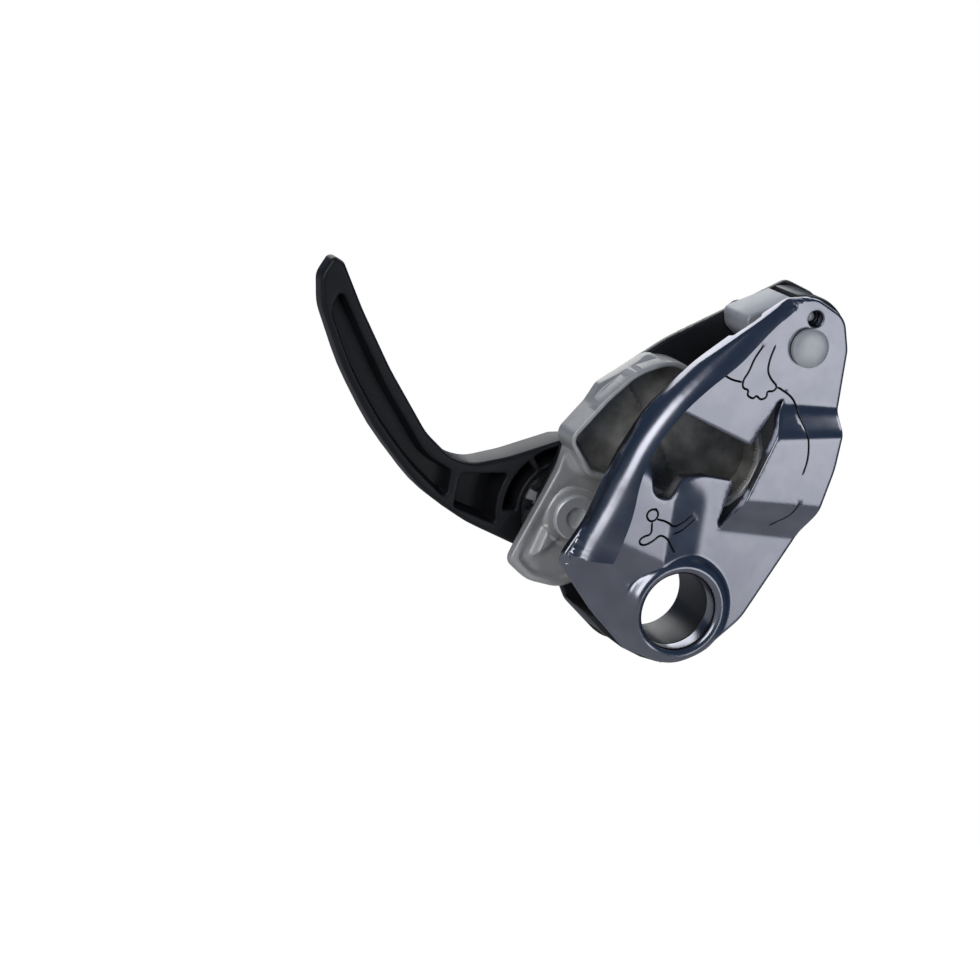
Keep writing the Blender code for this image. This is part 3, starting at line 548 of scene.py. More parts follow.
def bridgeHeight(x, z):
    # its foot and top lines run from the left edge to the right one
    rise, fold, left = bridge["rise"], bridge["fold"], bridge["left"]
    t = (x - left) / (bridge["right"] - left)
    footLow, topLow = loop[1] - 12.4 + 5.9 * t, loop[1] - 6.5 + 6.5 * t
    footHigh, topHigh = loop[1] + 16.6 + 7.0 * t, loop[1] + 10.7 + 9.0 * t
    climb = np.minimum((z - footLow) / (topLow - footLow), (footHigh - z) / (footHigh - topHigh)) * rise
    climb = softMax(climb, np.zeros_like(climb), fold)
    climb = -softMax(-climb, np.full_like(climb, -rise), fold)
    return np.where(x > left - 1.0, climb * smoothStep(x, left - 0.8, left - 0.3), 0)


def collarHeight(x, z):
    away = np.hypot(x, z)
    top, foot = movingPlate["collarTop"], movingPlate["collarFoot"]
    rise = movingPlate["collarRise"] * (1 - smoothStep(away, top, foot))
    rise = rise - movingPlate["collarSink"] * smoothStep(away, foot - movingPlate["collarFade"], foot)
    return rise - rollOver(away - movingPlate["eyeRadius"], movingPlate["eyeEdge"])


def strokes():
    # guide lines: the rope's path round the cam, an open hand at the top and a climber at the bottom
    path = [[(-16.3, 51.5), (-13.6, 51.2), (-11.3, 51.7)],
            [(-2.0, 54.2), (1.6, 53.8), (4.0, 52.4), (5.6, 49.7), (8.3, 46.1), (9.9, 42.8), (10.4, 39.6)],
            [(13.0, 32.9), (12.9, 29.4), (11.4, 26.1)]]
    hand = [[(-10.4, 60.4), (-10.9, 57.4), (-10.6, 54.6), (-11.0, 52.2), (-10.2, 50.6), (-8.6, 50.9), (-8.4, 49.6),
             (-6.6, 49.5), (-6.3, 50.6), (-4.8, 50.0), (-3.7, 51.2), (-4.4, 52.4), (-2.8, 53.0), (-2.6, 54.4),
             (-4.6, 55.0), (-6.6, 56.4), (-7.4, 59.2), (-7.6, 61.8)]]
    climber = [[(-17.0, 18.7), (-18.3, 18.0), (-18.5, 16.5), (-17.2, 15.6), (-15.9, 16.3), (-15.8, 17.9),
                (-17.0, 18.7)],
               [(-15.4, 16.8), (-13.2, 17.2), (-10.8, 16.6), (-9.0, 18.4), (-7.6, 20.6)],
               [(-9.9, 15.4), (-8.6, 16.4), (-7.4, 18.2), (-6.4, 20.0)],
               [(-16.2, 15.2), (-15.2, 13.2), (-17.0, 11.9), (-17.2, 10.4), (-15.6, 10.2), (-14.0, 12.2),
                (-13.2, 14.0), (-11.0, 13.8), (-9.0, 12.4), (-7.6, 11.6)]]
    return [filled(list(smoothLine(np.array(line), 2)), 0.35, closed=False) for line in path + hand + climber]


guideLines = strokes()


def lineNearness(x, z):
    best = np.full(x.shape, 1e9)
    for line in guideLines:
        best = np.minimum(best, distanceTo(x, z, line, closed=False)[0])
    return best


def swellHeight(x, z):
    # the sheet stands a little higher beside the lip, and falls away towards the rope's channel
    low = smoothStep(z, *swell["bottom"]) * (1 - smoothStep(z, *swell["top"]))
    fall = swell["slope"] * (-2.0 - 0.35 * (z - 15.0) - x)
    return np.clip(softMax(fall, np.zeros_like(fall), 0.35), 0, swell["height"]) * low


def movingFront(x, z):
    lipRise, right = lipHeight(x, z)
    ground = bridgeHeight(x, z) + swellHeight(x, z)
    rise = np.where(right, softMax(lipRise, ground, rolledEdge["blend"]), lipRise)
    rise = np.where(np.hypot(x, z) < movingPlate["collarFoot"], softMax(rise, collarHeight(x, z), 0.4), rise)
    rim = depthWithin(x, z, movingOutline)
    edge = rollOver(rim, movingPlate["edge"])
    # the lobe under the lip's end leans back towards its rim
    lobe = (1 - smoothStep(rim, 0, movingPlate["lobeReach"])) * smoothStep(pastEnd(x, z), 0.0, 3.5)
    lobe = lobe * (1 - smoothStep(x, -6, 7)) * (1 - smoothStep(z + 0.2 * x, -4, 4))
    edge = edge + movingPlate["lobeDrop"] * lobe
    window = rollOver(-depthWithin(x, z, windowOutline[::-1]), movingPlate["windowEdge"])
    pin = rollOver(np.hypot(x - pinPlace[0], z - pinPlace[1]) - movingPlate["pinHole"], movingPlate["pinEdge"])
    cutIn = movingPlate["lineDepth"] * (1 - smoothStep(lineNearness(x, z), 0.08, 0.24))
    return plateOuter - rise + edge + window + pin + cutIn


def movingBack(x, z):
    away, where = distanceTo(x, z, lip[:, :2], closed=False)
    crown = np.interp(where, np.arange(len(lip)), lip[:, 4])
    wide = np.interp(where, np.arange(len(lip)), np.minimum(lip[:, 2], lip[:, 3])) - 1.0
    beyond = pastEnd(x, z)
    groove = (crown - 1.2) * np.sqrt(np.maximum(1 - (away / np.maximum(wide, 0.5)) ** 2, 0))
    groove = np.where((beyond < -1.2) & (crown > 1.5) & (away < wide), np.maximum(groove, 0) + 1.0, 0)
    return plateInner - bridgeHeight(x, z) - groove


pinPlace = pivot + np.array((-1.5, 6.3))


def movingRings():
    rings = []
    for k in (0.06, 0.2, 0.42, 0.7, 1.0):
        rings.append((inset(movingOutline, k), True))
    for k in (0.05, 0.18, 0.35):
        rings.append((inset(windowOutline[::-1], -k), True))
    for radius in (8.85, 9.1, 9.5, 9.95, 10.4):
        rings.append((ring(eye, radius, 0.5), True))
    for radius in (10.9, 11.4, 11.9, 12.4, 12.9, 13.3, 13.7):
        rings.append((ring(eye, radius, 0.5), True, 1.2))
    for radius in (1.86, 1.98, 2.12):
        rings.append((ring(pinPlace, radius, 0.3), True))
    side = np.gradient(lip[:, :2], axis=0)
    side /= np.linalg.norm(side, axis=1)[:, None]
    across = np.stack((side[:, 1], -side[:, 0]), axis=1)
    for share in (0.15, 0.3, 0.42, 0.52, 0.62, 0.72, 0.82, 0.9):
        offset = lip[:, 3:4] - share * (lip[:, 2:3] + lip[:, 3:4])
        rings.append((filled([tuple(p) for p in lip[:, :2] + across * offset], 0.7, closed=False), False, 1.2))
    for step in (-0.3, -0.12, 0.02, 0.18, 0.36):
        rings.append((filled([tuple(p) for p in lip[:, :2] + across * (lip[:, 3:4] + step)], 0.7, closed=False),
                      False, 1.2))
    below = np.array((lipEndAlong[1], -lipEndAlong[0]))
    for step in (-0.05, 0.05, 0.2, 0.36):
        rings.append((np.array([lipEnd + below * step + lipEndAlong * k for k in np.arange(-8.0, 9.0, 0.4)]),
                      False, 1.05))
    for step in (-0.8, -0.55, -0.3):
        rings.append((np.array([(bridge["left"] + step, loop[1] + k) for k in np.arange(-17.0, 22.0, 0.6)]), False))
    for line in guideLines:
        along = np.gradient(line, axis=0)
        along /= np.maximum(np.linalg.norm(along, axis=1), 1e-9)[:, None]
        normal = np.stack((-along[:, 1], along[:, 0]), axis=1)
        for step in (-0.26, -0.08, 0.08, 0.26):
            rings.append((line + normal * step, False))
    return rings


plateMesh = formedSolid(
    "movingPlate", movingOutline, [windowOutline[::-1], ring(eye, movingPlate["eyeRadius"], 0.5),
                                   ring(pinPlace, movingPlate["pinHole"], 0.3)],
    movingRings(), movingPlate["pitch"], movingFront, movingBack,
    lambda x, z: 1 - smoothStep(lineNearness(x, z), 0.1, 0.25))
newPiece("movingPlate", plateMesh, "moving_plate", anodised, ("moving_side_plate",), 50)


# cam: a cast cup with a thin rim, a flange with a raised edge, a hub and a wedge-shaped tooth

camShape = {"rimWidth": 1.1, "rimEdge": 0.45, "lipEdge": 0.35, "cupDepth": 4.0, "noseRadius": 13.2, "flange": 2.2,
            "flangeEdge": 0.6, "fillet": 1.4, "panel": 0.7, "hub": 7.4, "bore": 4.8, "ribRise": 0.5,
            "toothRise": 1.8}

cupNose = [(loop[0] + camShape["noseRadius"] * cos(radians(80 - 17 * k)),
            loop[1] + camShape["noseRadius"] * sin(radians(80 - 17 * k)), 0) for k in range(11)]
cupOutline = softOutline(cupNose + near(loop, [
    (-10.0, -13.0, 10), (-24.6, -15.6, 4), (-33.2, -10.2, 3.2), (-29.4, 1.5, 16), (-25.6, 9.8, 14),
    (-18.6, 16.0, 9), (-9.0, 15.2, 12)]))
flangeOutline = softOutline(
    near(loop, [(-31.0, -6.5, 4), (-29.6, 3.6, 2), (-22.0, 14.6, 4), (-6.0, 15.2, 6), (-6.0, -14.5, 4)])
    + near(axle, [(12.2, 1.8, 5), (12.0, -8.4, 6), (5.0, -15.9, 8), (-3.4, -17.2, 8), (-9.6, -15.2, 2.6),
                  (-9.6, -11.5, 10), (-8.6, 8.0, 8)]))
panelOutline = softOutline(near(axle, [
    (10.0, 0.0, 4), (9.8, -8.0, 5), (4.4, -14.2, 7), (-3.2, -15.6, 7), (-8.0, -13.6, 2), (-8.0, -9.0, 6),
    (-6.6, 6.0, 4), (4.0, 8.0, 4)]))
toothOutline = softOutline(near(axle, [(-5.6, -13.0, 1.0), (-3.0, -10.8, 1.0), (-0.4, -5.4, 1.2), (-6.0, -3.8, 1.2)]),
                           gap=0.4)


def unionOutline(first, second):
    # outline of two overlapping flat shapes together
    shape = bmesh.new()
    joined = []
    for points in (first, second):
        mesh = bpy.data.meshes.new("flat")
        flat = bmesh.new()
        verts = [flat.verts.new((p[0], p[1], 0)) for p in points]
        flat.faces.new(verts)
        up = bmesh.ops.extrude_face_region(flat, geom=list(flat.faces))
        bmesh.ops.translate(flat, vec=(0, 0, 4), verts=[v for v in up["geom"] if isinstance(v, bmesh.types.BMVert)])
        bmesh.ops.recalc_face_normals(flat, faces=flat.faces)
        flat.to_mesh(mesh)
        flat.free()
        piece = bpy.data.objects.new("flat", mesh)
        bpy.context.scene.collection.objects.link(piece)
        joined.append(piece)
    union = joined[0].modifiers.new("union", "BOOLEAN")
    union.operation, union.object = "UNION", joined[1]
    result = joined[0].evaluated_get(bpy.context.evaluated_depsgraph_get()).to_mesh()
    shape.from_mesh(result)
    edges = [e for e in shape.edges if all(abs(v.co.z) < 1e-4 for v in e.verts)
             and any(abs(f.normal.z) < 0.5 for f in e.link_faces)]
    follow = {}
    for edge in edges:
        for vert in edge.verts:
            follow.setdefault(vert, []).append(edge)
    vert, edge, points = edges[0].verts[0], edges[0], []
    for _ in range(len(edges)):
        points.append((vert.co.x, vert.co.y))
        vert = edge.other_vert(vert)
        edge = [e for e in follow[vert] if e is not edge][0]
    shape.free()
    for piece in joined:
        bpy.data.objects.remove(piece, do_unlink=True)
    return anticlockwise(np.array(points))


camOutline = unionOutline(cupOutline, flangeOutline)


def camSurface(x, z):
    # the flange, then the cup's wall that stands up from it, then the cup's hollow
    flange = camBack - camShape["flange"]
    panel = depthWithin(x, z, panelOutline)
    y = flange + camShape["panel"] * smoothStep(panel, 0.0, 0.8)
    y = y + rollOver(depthWithin(x, z, flangeOutline), camShape["flangeEdge"])
    hub = np.hypot(x - axle[0], z - axle[1])
    y = np.where(hub < camShape["hub"], np.minimum(y, flange + camShape["panel"] * smoothStep(hub, 6.2, 7.2)), y)
    tooth = depthWithin(x, z, toothOutline)
    y = y - camShape["toothRise"] * smoothStep(tooth, -0.2, 1.5)
    wall = depthWithin(x, z, cupOutline)
    fillet = camShape["fillet"] * (1 - smoothStep(-wall, 0.0, 1.8)) ** 2
    y = y - fillet
    rim = camFront + rollOver(wall, camShape["rimEdge"])
    y = np.where(wall > 0, rim, y)
    floor = camFront + camShape["cupDepth"]
    ribs = np.abs((x - loop[0] + 12) * 0.55 + (z - loop[1] + 2) * 0.83)
    floor = floor - camShape["ribRise"] * (1 - smoothStep(ribs, 0.25, 0.6))
    hollow = wall - camShape["rimWidth"]
    bowl = camFront + (floor - camFront) * smoothStep(hollow, 0.0, 1.5) ** 0.6
    y = np.where(hollow > 0, np.maximum(bowl + 0.25, rim), y)
    lipEdge = camShape["lipEdge"]
    return np.where((hollow > -lipEdge) & (hollow <= 0), camFront + rollOver(-hollow, lipEdge), y)


camRings = [(inset(cupOutline, k), True) for k in (-1.8, -1.2, -0.7, -0.35, -0.12, -0.02, 0.02, 0.1, 0.22, 0.42,
                                                   0.75, 0.95, 1.06, 1.12, 1.25, 1.45, 1.75, 2.1, 2.6)]
camRings += [(inset(flangeOutline, k), True) for k in (0.08, 0.25, 0.5, 0.7)]
camRings += [(inset(panelOutline, k), True) for k in (0.0, 0.25, 0.5, 0.8)]
camRings += [(inset(toothOutline, k), True) for k in (-0.2, 0.2, 0.6, 1.0, 1.4)]
camRings += [(ring(axle, r, 0.5), True) for r in (5.3, 6.2, 6.7, 7.2)]
camMesh = formedSolid("camCasting", camOutline, [ring(axle, camShape["bore"], 0.5)], camRings, 0.9, camSurface,
                      lambda x, z: np.full_like(x, camBack))
newPiece("camCasting", camMesh, "cam_body", castSteel, ("cam",), 40)
# faces deep in the cup's hollow get the darker copy of the cast steel: painted shade
camMesh.materials.append(cupFloorPaintedShade)
middles = np.array([tuple(face.center) for face in camMesh.polygons]) / mm
hollows = depthWithin(middles[:, 0], middles[:, 2], cupOutline) - camShape["rimWidth"]
for face, deep, y in zip(camMesh.polygons, hollows, middles[:, 1]):
    if deep > 0.25 and y < camBack - 1:
        face.material_index = 1


# handle: a moulded arm with two long pockets, and a round hub with a ring of small ones

handleShape = {"reach": 79.5, "rise": 19.5, "tipDepth": 5.5, "shell": 2.2, "hubRadius": 16.0, "cavity": 10.2,
               "bore": 5.0, "edge": 0.9, "backEdge": 1.8, "pocketEdge": 0.5, "longPocket": 3.9, "shortPocket": 6.8,
               "boss": 8.0, "bossRise": 0.35}

elbow = axle + np.array((-34.0, 1.5))
tip = axle + handleShape["reach"] * np.array((-cos(radians(handleShape["rise"])), sin(radians(handleShape["rise"]))))
hubArc = [(axle[0] + handleShape["hubRadius"] * cos(radians(120 - 10 * k)),
           axle[1] + handleShape["hubRadius"] * sin(radians(120 - 10 * k)), 0) for k in range(19)]
armOutline = softOutline(
    hubArc + near(axle, [(4.0, -12.6, 3), (-5.0, -11.8, 10)])
    + near(elbow, [(14.0, -13.0, 30), (1.1, -10.9, 40), (-15.6, -2.7, 60)])
    + near(tip, [(12.6, -18.6, 60), (1.9, -8.4, 12), (-1.3, -2.5, 4), (-0.6, 2.6, 1.8), (2.2, 2.2, 2),
                 (10.6, -5.1, 60)])
    + near(elbow, [(-18.5, 10.8, 60), (-4.2, 1.4, 14), (3.6, -1.3, 12), (9.5, -0.4, 10), (16.5, 4.3, 20)]))
longPocket = softOutline(
    near(elbow, [(7.0, -10.2, 1), (-4.5, -6.1, 40), (-15.0, -0.7, 60)])
    + near(tip, [(14.0, -17.6, 60), (4.2, -8.2, 4), (4.2, -3.2, 0.8), (13.6, -10.6, 60)])
    + near(elbow, [(-17.4, 6.8, 60), (-8.9, 1.4, 20), (-2.3, -2.9, 12), (5.0, -3.8, 1)]), gap=0.5)
shortPocket = softOutline(
    [(axle[0] + 16.4 * cos(radians(172 + 10.5 * k)), axle[1] + 16.4 * sin(radians(172 + 10.5 * k)), 0.6)
     for k in range(5)] + near(elbow, [(9.4, -11.0, 1.2), (7.4, -3.6, 1.2)]), gap=0.5)
ringPockets = [softOutline(
    [(axle[0] + r * cos(radians(a)), axle[1] + r * sin(radians(a)), 0.4)
     for r, turns in ((14.6, range(start, start + 51, 10)), (11.6, range(start + 50, start - 1, -10)))
     for a in turns], gap=0.5) for start in (-15, 41, 97, 153)]
pockets = [(longPocket, handleShape["longPocket"])]
pockets += [(outline, handleShape["shortPocket"]) for outline in [shortPocket] + ringPockets]


def armBackLevel(x):
    # the arm thins from the hub to its tip
    start = axle[0] - handleShape["hubRadius"] - 2
    t = np.clip((start - x) / (start - (axle[0] - handleShape["reach"])), 0, 1)
    return handleBack - (handleBack - handleFront - handleShape["tipDepth"]) * t


def handleFrontSurface(x, z):
    y = handleFront + rollOver(depthWithin(x, z, armOutline), handleShape["edge"])
    hub = np.hypot(x - axle[0], z - axle[1])
    wall, edge = handleShape["cavity"], handleShape["pocketEdge"]
    y = np.where(hub < wall + edge, np.maximum(y, handleFront + rollOver(np.maximum(hub - wall, 0), edge)), y)
    floor = handleBack - handleShape["shell"]
    y = np.where(hub < wall, handleFront + edge + (floor - handleFront - edge) * smoothStep(wall - hub, 0, 0.3), y)
    for outline, depth in pockets:
        deep = depthWithin(x, z, outline)
        y = np.where(deep > -edge, np.maximum(y, handleFront + rollOver(-np.minimum(deep, 0), edge)), y)
        y = np.where(deep > 0, handleFront + edge + (depth - edge) * smoothStep(deep, 0.0, 0.7) ** 0.7, y)
    return y


def handleBackSurface(x, z):
    crown, boss = np.hypot(x - axle[0], z - axle[1]), handleShape["boss"]
    y = armBackLevel(x) - rollOver(depthWithin(x, z, armOutline), handleShape["backEdge"])
    sunk = handleBack - handleShape["bossRise"] * (1 - smoothStep(crown, boss - 1, boss))
    return np.where(crown < boss, np.minimum(y, sunk), y)


armRings = [(inset(armOutline, k), True) for k in (0.06, 0.2, 0.45, 0.7, 0.95, 1.35, 1.9)]
for outline, depth in pockets:
    armRings += [(inset(outline, k), True) for k in (-0.45, -0.25, -0.08, 0.02, 0.15, 0.35, 0.55, 0.72)]
armRings += [(ring(axle, r, 0.6), True) for r in (7.0, 7.5, 8.0, 9.88, 10.0, 10.1, 10.19, 10.28, 10.45, 10.7)]
armMesh = formedSolid("handleArm", armOutline, [ring(axle, handleShape["bore"], 0.5)], armRings, 1.3,
                      handleFrontSurface, handleBackSurface)
newPiece("handleArm", armMesh, "handle_body", blackNylon, ("handle",), 45)


# flat blocks with rounded edges: the fixed plate, the wedge and the spacer

def block(name, outline, holes, front, back, edge, body, finish, replaced):
    steps = [edge * k for k in (0.08, 0.3, 0.65, 1.0)]
    rings = [(inset(outline, k), True) for k in steps]
    rings += [(inset(anticlockwise(hole), -k), True) for hole in holes for k in steps]

    def drop(x, z):
        fall = rollOver(depthWithin(x, z, outline), edge)
        for hole in holes:
            fall = np.maximum(fall, rollOver(-depthWithin(x, z, hole), edge))
        return fall

    mesh = formedSolid(name, outline, holes, rings, 2.5, lambda x, z: front + drop(x, z),
                       lambda x, z: back - drop(x, z))
    return newPiece(name, mesh, body, finish, replaced, 40)


fixedOutline = softOutline(
    near(pivot, [(-9.4, 4.8, 2), (-3.4, 11.8, 3), (4.6, 11.8, 4), (10.4, 5.0, 6), (13.2, -8.4, 10)])
    + near(loop, [(22.6, 9.5, 20), (23.8, -6.5, 20)])
    + near(eye, [(15.2, 4.0, 12), (11.4, -6.0, 8), (4.8, -13.0, 9), (-6.0, -13.86, 9), (-17.4, -9.6, 6)])
    + near(axle, [(0.5, -10.5, 6), (-6.5, -7.5, 6), (-8.8, 1.5, 6)])
    + near(loop, [(-29.4, -9.0, 12), (-28.6, 1.0, 12), (-24.2, 9.8, 8)])
    + near(pivot, [(-24.0, -12.0, 30)]))
padOutline = anticlockwise(filled(
    [(11.2 * cos(radians(205 - 7.5 * k)), 11.2 * sin(radians(205 - 7.5 * k))) for k in range(31)]
    + [(4.6, -12.6), (-1.0, -13.2), (-6.5, -12.9), (-12.0, -11.6), (-18.0, -9.2)], 0.6))
fixedPlate = {"edge": 0.6, "padEdge": 0.5, "boreEdge": 0.3, "backBoreEdge": 0.8, "foot": 0.8}


def fixedFront(x, z):
    # the pad round the eye reaches forward to the moving plate
    pad = depthWithin(x, z, padOutline)
    y = backInner + rollOver(depthWithin(x, z, fixedOutline), fixedPlate["edge"])
    bore = rollOver(np.hypot(x, z) - movingPlate["eyeRadius"], fixedPlate["boreEdge"])
    t = smoothStep(pad, -0.12, 0.0)
    return np.where(pad > 0, plateInner + clearance + rollOver(pad, fixedPlate["padEdge"]) + bore,
                    y + (plateInner + fixedPlate["foot"] - y) * t)


def fixedBack(x, z):
    return (backOuter - rollOver(depthWithin(x, z, fixedOutline), fixedPlate["edge"])
            - rollOver(np.hypot(x, z) - movingPlate["eyeRadius"], fixedPlate["backBoreEdge"]))


slotRadius, slotHalf = 8.2, 1.3
slotTurn = [radians(a) for a in range(280, 317, 4)]
stopSlot = anticlockwise(filled(
    [(axle[0] + (slotRadius + slotHalf) * cos(a), axle[1] + (slotRadius + slotHalf) * sin(a)) for a in slotTurn]
    + [(axle[0] + (slotRadius - slotHalf) * cos(a), axle[1] + (slotRadius - slotHalf) * sin(a))
       for a in reversed(slotTurn)], 0.6))
fixedRings = [(inset(fixedOutline, k), True) for k in (0.05, 0.2, 0.4, 0.6)]
fixedRings += [(inset(padOutline, k), True) for k in (-0.13, -0.06, 0.01, 0.1, 0.3, 0.5)]
fixedRings += [(ring(eye, r, 0.5), True) for r in (8.8, 8.95, 9.15, 9.4)]
fixedMesh = formedSolid("fixedPlate", fixedOutline,
                        [ring(eye, movingPlate["eyeRadius"], 0.5), ring(pivot, 3.3), ring(axle, 3.5), stopSlot],
                        fixedRings, 2.5, fixedFront, fixedBack)
newPiece("fixedPlate", fixedMesh, "frame", blackPlate, ("fixed_side_plate",), 40)

wedgeOutline = softOutline(near(pivot, [
    (-15.6, 0.1, 1.6), (-7.2, 8.4, 0.4), (-4.9, 4.2, 0.4), (5.8, 4.2, 1), (9.0, -3.0, 0.6), (10.6, -3.6, 1),
    (10.2, -7.4, 1.5), (-3.0, -6.4, 20), (-13.4, -3.4, 2.5)]), gap=0.5)
block("frictionWedge", wedgeOutline, [ring(pivot, 4.9)], plateInner + clearance, backInner - clearance, 0.45, "frame",
      blastedSteel, ("friction_wedge",))
spacerOutline = softOutline(
    [(pivot[0] + 11.2 * cos(radians(124 - 5 * k)), pivot[1] + 11.2 * sin(radians(124 - 5 * k)), 0.3)
     for k in range(24)] + near(pivot, [(9.7, -2.2, 0.5), (6.5, 4.7, 0.5), (-4.0, 4.7, 0.5)]), gap=0.5)
block("topSpacer", spacerOutline, [ring(pinPlace, 1.4, 0.4)], plateInner + clearance, backInner - clearance, 0.7,
      "frame", darkNylon, ("top_spacer",))


# turned pieces

def turnedPiece(name, profile, centre, body, finish, replaced, closed=False):
    # profile is (radius, y) in mm from the back to the front, spun about a Y axis
    bpy.ops.object.select_all(action="DESELECT")
    mesh = bpy.data.meshes.new(name)
    piece = bpy.data.objects.new(name, mesh)
    bpy.context.scene.collection.objects.link(piece)
    verts = [(centre[0] * mm + r * mm, y * mm, centre[1] * mm) for r, y in profile]
    count = len(verts)
    sides = [(k, (k + 1) % count) for k in range(count if closed else count - 1)]
    mesh.from_pydata(verts, sides, [])
    bpy.context.view_layer.objects.active = piece
    piece.select_set(True)
    bpy.ops.object.mode_set(mode="EDIT")
    bpy.ops.mesh.select_all(action="SELECT")
    bpy.ops.mesh.spin(steps=72, angle=2 * pi, center=(centre[0] * mm, 0, centre[1] * mm), axis=(0, 1, 0))
    bpy.ops.mesh.select_all(action="SELECT")
    bpy.ops.mesh.remove_doubles(threshold=0.000005)
    bpy.ops.mesh.normals_make_consistent(inside=False)
    bpy.ops.object.mode_set(mode="OBJECT")
    mesh.materials.append(finish)
    finishPiece(piece, body, replaced, 30)
    return piece


def dome(radius, foot, rise, sign, skirt=0.35):
    # head of a rivet from its crown to its edge: a low dome over a short upright side
    turns = [radians(a) for a in range(0, 91, 10)]
    return [(radius * sin(a) if k else 0.0, foot + sign * (skirt * rise + (1 - skirt) * rise * cos(a)))
            for k, a in enumerate(turns)] + [(radius, foot)]


rivet = {"head": 4.4, "shank": 3.0, "headRise": 1.6, "tailRise": 1.15}
head = dome(rivet["head"], plateOuter - clearance, rivet["headRise"], -1, 0.62)
tail = dome(rivet["head"], backOuter + clearance, rivet["tailRise"], 1)
shank = [(rivet["shank"], backOuter + clearance), (rivet["shank"], plateOuter - clearance)]
turnedPiece("pivotRivet", tail + shank + head[::-1], pivot, "frame", turnedSteel, ("pivot_rivet",))
for sideName, offset in (("left", (-10.2, 0.4)), ("right", (8.0, -4.6))):
    turnedPiece("wedgeRivet_" + sideName, dome(2.6, backOuter + clearance, 0.38, 1) + [
        (1.3, backOuter + clearance), (1.3, clearance), (0.0, clearance)], pivot + np.array(offset), "frame",
        turnedSteel, ("wedge_rivet_" + sideName,))
turnedPiece("locatingPin", [
    (0, backOuter), (0.9, backOuter), (1.1, backOuter - 0.2), (1.1, plateInner + 0.5), (0.95, plateInner + 0.35),
    (0, plateInner + clearance)], pinPlace, "frame", turnedSteel, ("locating_pin",))
axleFront = levels("cam_axle")[0]
turnedPiece("camAxle", [
    (0, handleBack + 1.6), (3.2, handleBack + 1.6), (3.2, axleFront + 1.1), (5.1, axleFront + 1.1),
    (5.2, axleFront + 1.0), (5.2, axleFront + 0.6), (5.05, axleFront + 0.25), (4.7, axleFront), (2.6, axleFront),
    (2.4, axleFront + 0.15), (2.4, axleFront + 1.3), (0, axleFront + 1.3)], axle, "frame",
    turnedSteel, ("cam_axle",))
turnedPiece("axleWasher", [
    (3.5, handleBack + 0.8), (6.2, handleBack + 0.8), (6.4, handleBack + 0.65), (6.4, handleBack + 0.45),
    (6.2, handleBack + clearance), (3.5, handleBack + clearance)], axle, "frame", turnedSteel,
    ("axle_washer",), closed=True)
turnedPiece("axleCap", dome(5.2, handleBack + 1.1, 1.85, 1, 0.5) + [
    (3.5, handleBack + 1.1), (3.5, handleBack + 1.9), (0, handleBack + 1.9)], axle, "frame",
    turnedSteel, ("axle_cap",))


# carried-over pieces get their finishes

carried = {"fixed_side_plate": blackPlate, "pivot_rivet": turnedSteel, "pivot_washer": bronze,
           "top_spacer": darkNylon, "friction_wedge": blastedSteel, "wedge_rivet_left": turnedSteel,
           "wedge_rivet_right": turnedSteel, "locating_pin": turnedSteel, "cam_axle": turnedSteel,
           "axle_washer": turnedSteel, "axle_cap": turnedSteel, "cam": castSteel, "cam_bush": bronze,
           "cam_stop_pin": turnedSteel, "cam_return_spring": springWire, "handle_return_spring": springWire,
           "handle": blackNylon, "handle_hub_insert": turnedSteel, "handle_washer": bronze}
for nodeName, finish in carried.items():
    for item in bpy.data.objects:
        if item.name == nodeName and item.type == "MESH":
            item.data.materials.clear()
            item.data.materials.append(finish)


# studio

def softBox(name, place, target, width, height, power, colour=(1, 1, 1)):
    data = bpy.data.lights.new(name, "AREA")
    data.shape = "RECTANGLE"
    data.size, data.size_y, data.energy, data.color = width, height, power, colour
    lamp = bpy.data.objects.new(name, data)
    bpy.context.scene.collection.objects.link(lamp)
    lamp.location = place
    aim = Vector(target) - Vector(place)
    lamp.rotation_euler = aim.to_track_quat("-Z", "Y").to_euler()


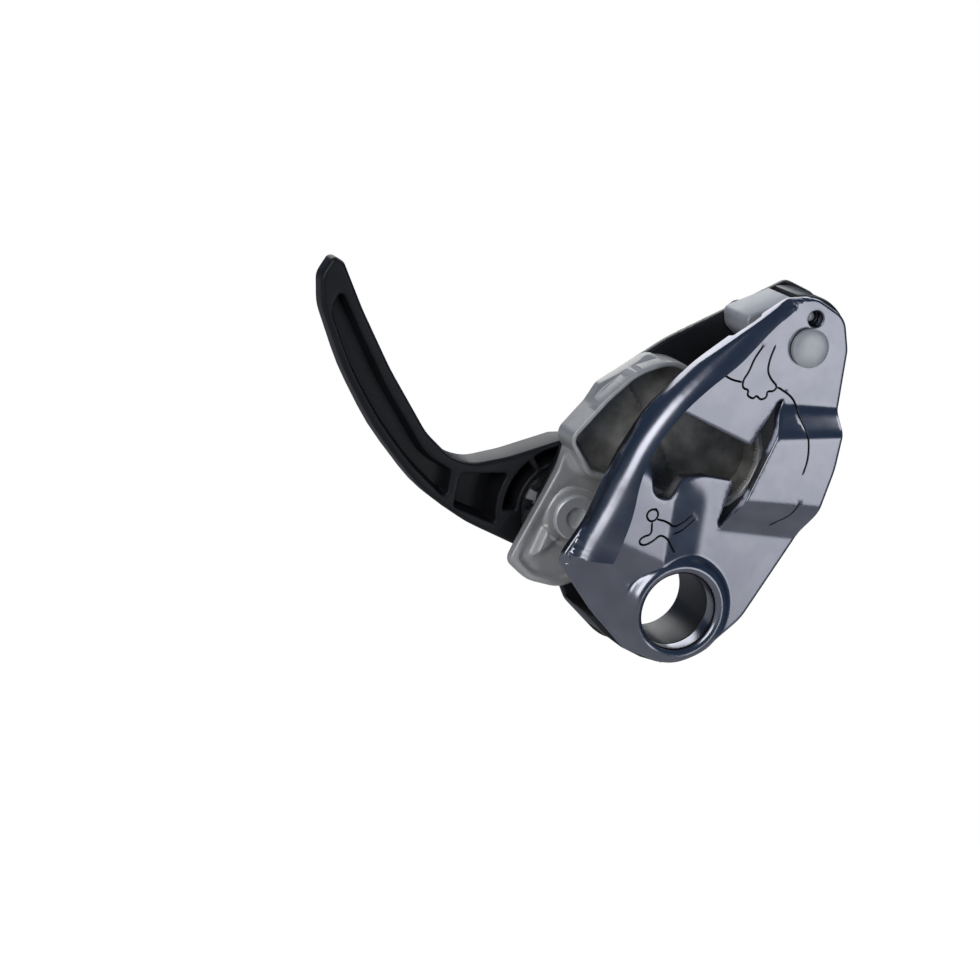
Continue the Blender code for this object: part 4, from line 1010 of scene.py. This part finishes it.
studio = {"floorLevel": -0.12, "floorSize": 1.3}
bpy.ops.object.select_all(action="DESELECT")
bpy.ops.mesh.primitive_plane_add(size=studio["floorSize"], location=(0, 0, studio["floorLevel"]))
floor = bpy.context.active_object
floor.name = "studioFloor"
paper = Finish("palePaper", Metallic=0.0, Roughness=0.8, Emission_Color=(1.0, 1.0, 1.0), Emission_Strength=0.85)
paper.use(Base_Color=paper.mix(paper.noise(60.0), (0.86, 0.86, 0.86), (0.90, 0.90, 0.90)))
shade = paper.node("ShaderNodeEmission", inputs={"Color": (0.22, 0.23, 0.26), "Strength": 1.0})
looked = paper.node("ShaderNodeLightPath", output="Is Camera Ray")
either = paper.node("ShaderNodeMixShader", inputs={0: looked, 1: shade,
                                                   2: Wire(paper, paper.shader.outputs["BSDF"])})
paper.plug(either, paper.tree.nodes["Material Output"].inputs["Surface"])
floor.data.materials.append(paper.material)

softBox("faceLight", (0.61, -1.067, 0.145), (0, 0, 0.03), 0.46, 0.52, 0.95)
softBox("lipLight", (-0.92, -0.77, 0.15), (-0.03, 0, 0.03), 0.55, 1.0, 4.2)
softBox("topLight", (0.4, 0.35, 1.2), (0, 0, 0.03), 0.8, 0.8, 3.5)
softBox("backLight", (-0.15, 1.3, 0.65), (0, 0, 0.03), 1.2, 0.6, 4.5)

world = bpy.data.worlds.new("studioSky")
bpy.context.scene.world = world
world.use_nodes = True
sky = world.node_tree
background = sky.nodes["Background"]
background.inputs["Color"].default_value = (0.04, 0.065, 0.11, 1)
background.inputs["Strength"].default_value = 1.0
white = sky.nodes.new("ShaderNodeBackground")
white.inputs["Color"].default_value = (1, 1, 1, 1)
either = sky.nodes.new("ShaderNodeMixShader")
seen = sky.nodes.new("ShaderNodeLightPath")
sky.links.new(seen.outputs["Is Camera Ray"], either.inputs[0])
sky.links.new(background.outputs[0], either.inputs[1])
sky.links.new(white.outputs[0], either.inputs[2])
sky.links.new(either.outputs[0], sky.nodes["World Output"].inputs[0])
bpy.context.scene.view_settings.view_transform = "Standard"

view = {"place": (-0.30448730498, -0.53118491311, 0.05459180921), "ahead": (0.43079355, 0.89879405, -0.08115529),
        "up": (-0.36939318, 0.2576681, 0.89283584), "lens": 100.0, "sensor": 36.0}
ahead, up = Vector(view["ahead"]).normalized(), Vector(view["up"]).normalized()
side = ahead.cross(up).normalized()
up = side.cross(ahead).normalized()
cameraData = bpy.data.cameras.new("camera")
cameraData.lens, cameraData.sensor_width = view["lens"], view["sensor"]
cameraData.clip_start = 0.01
camera = bpy.data.objects.new("camera", cameraData)
bpy.context.scene.collection.objects.link(camera)
camera.matrix_world = Matrix.Translation(Vector(view["place"])) @ Matrix((side, up, -ahead)).transposed().to_4x4()
bpy.context.scene.camera = camera
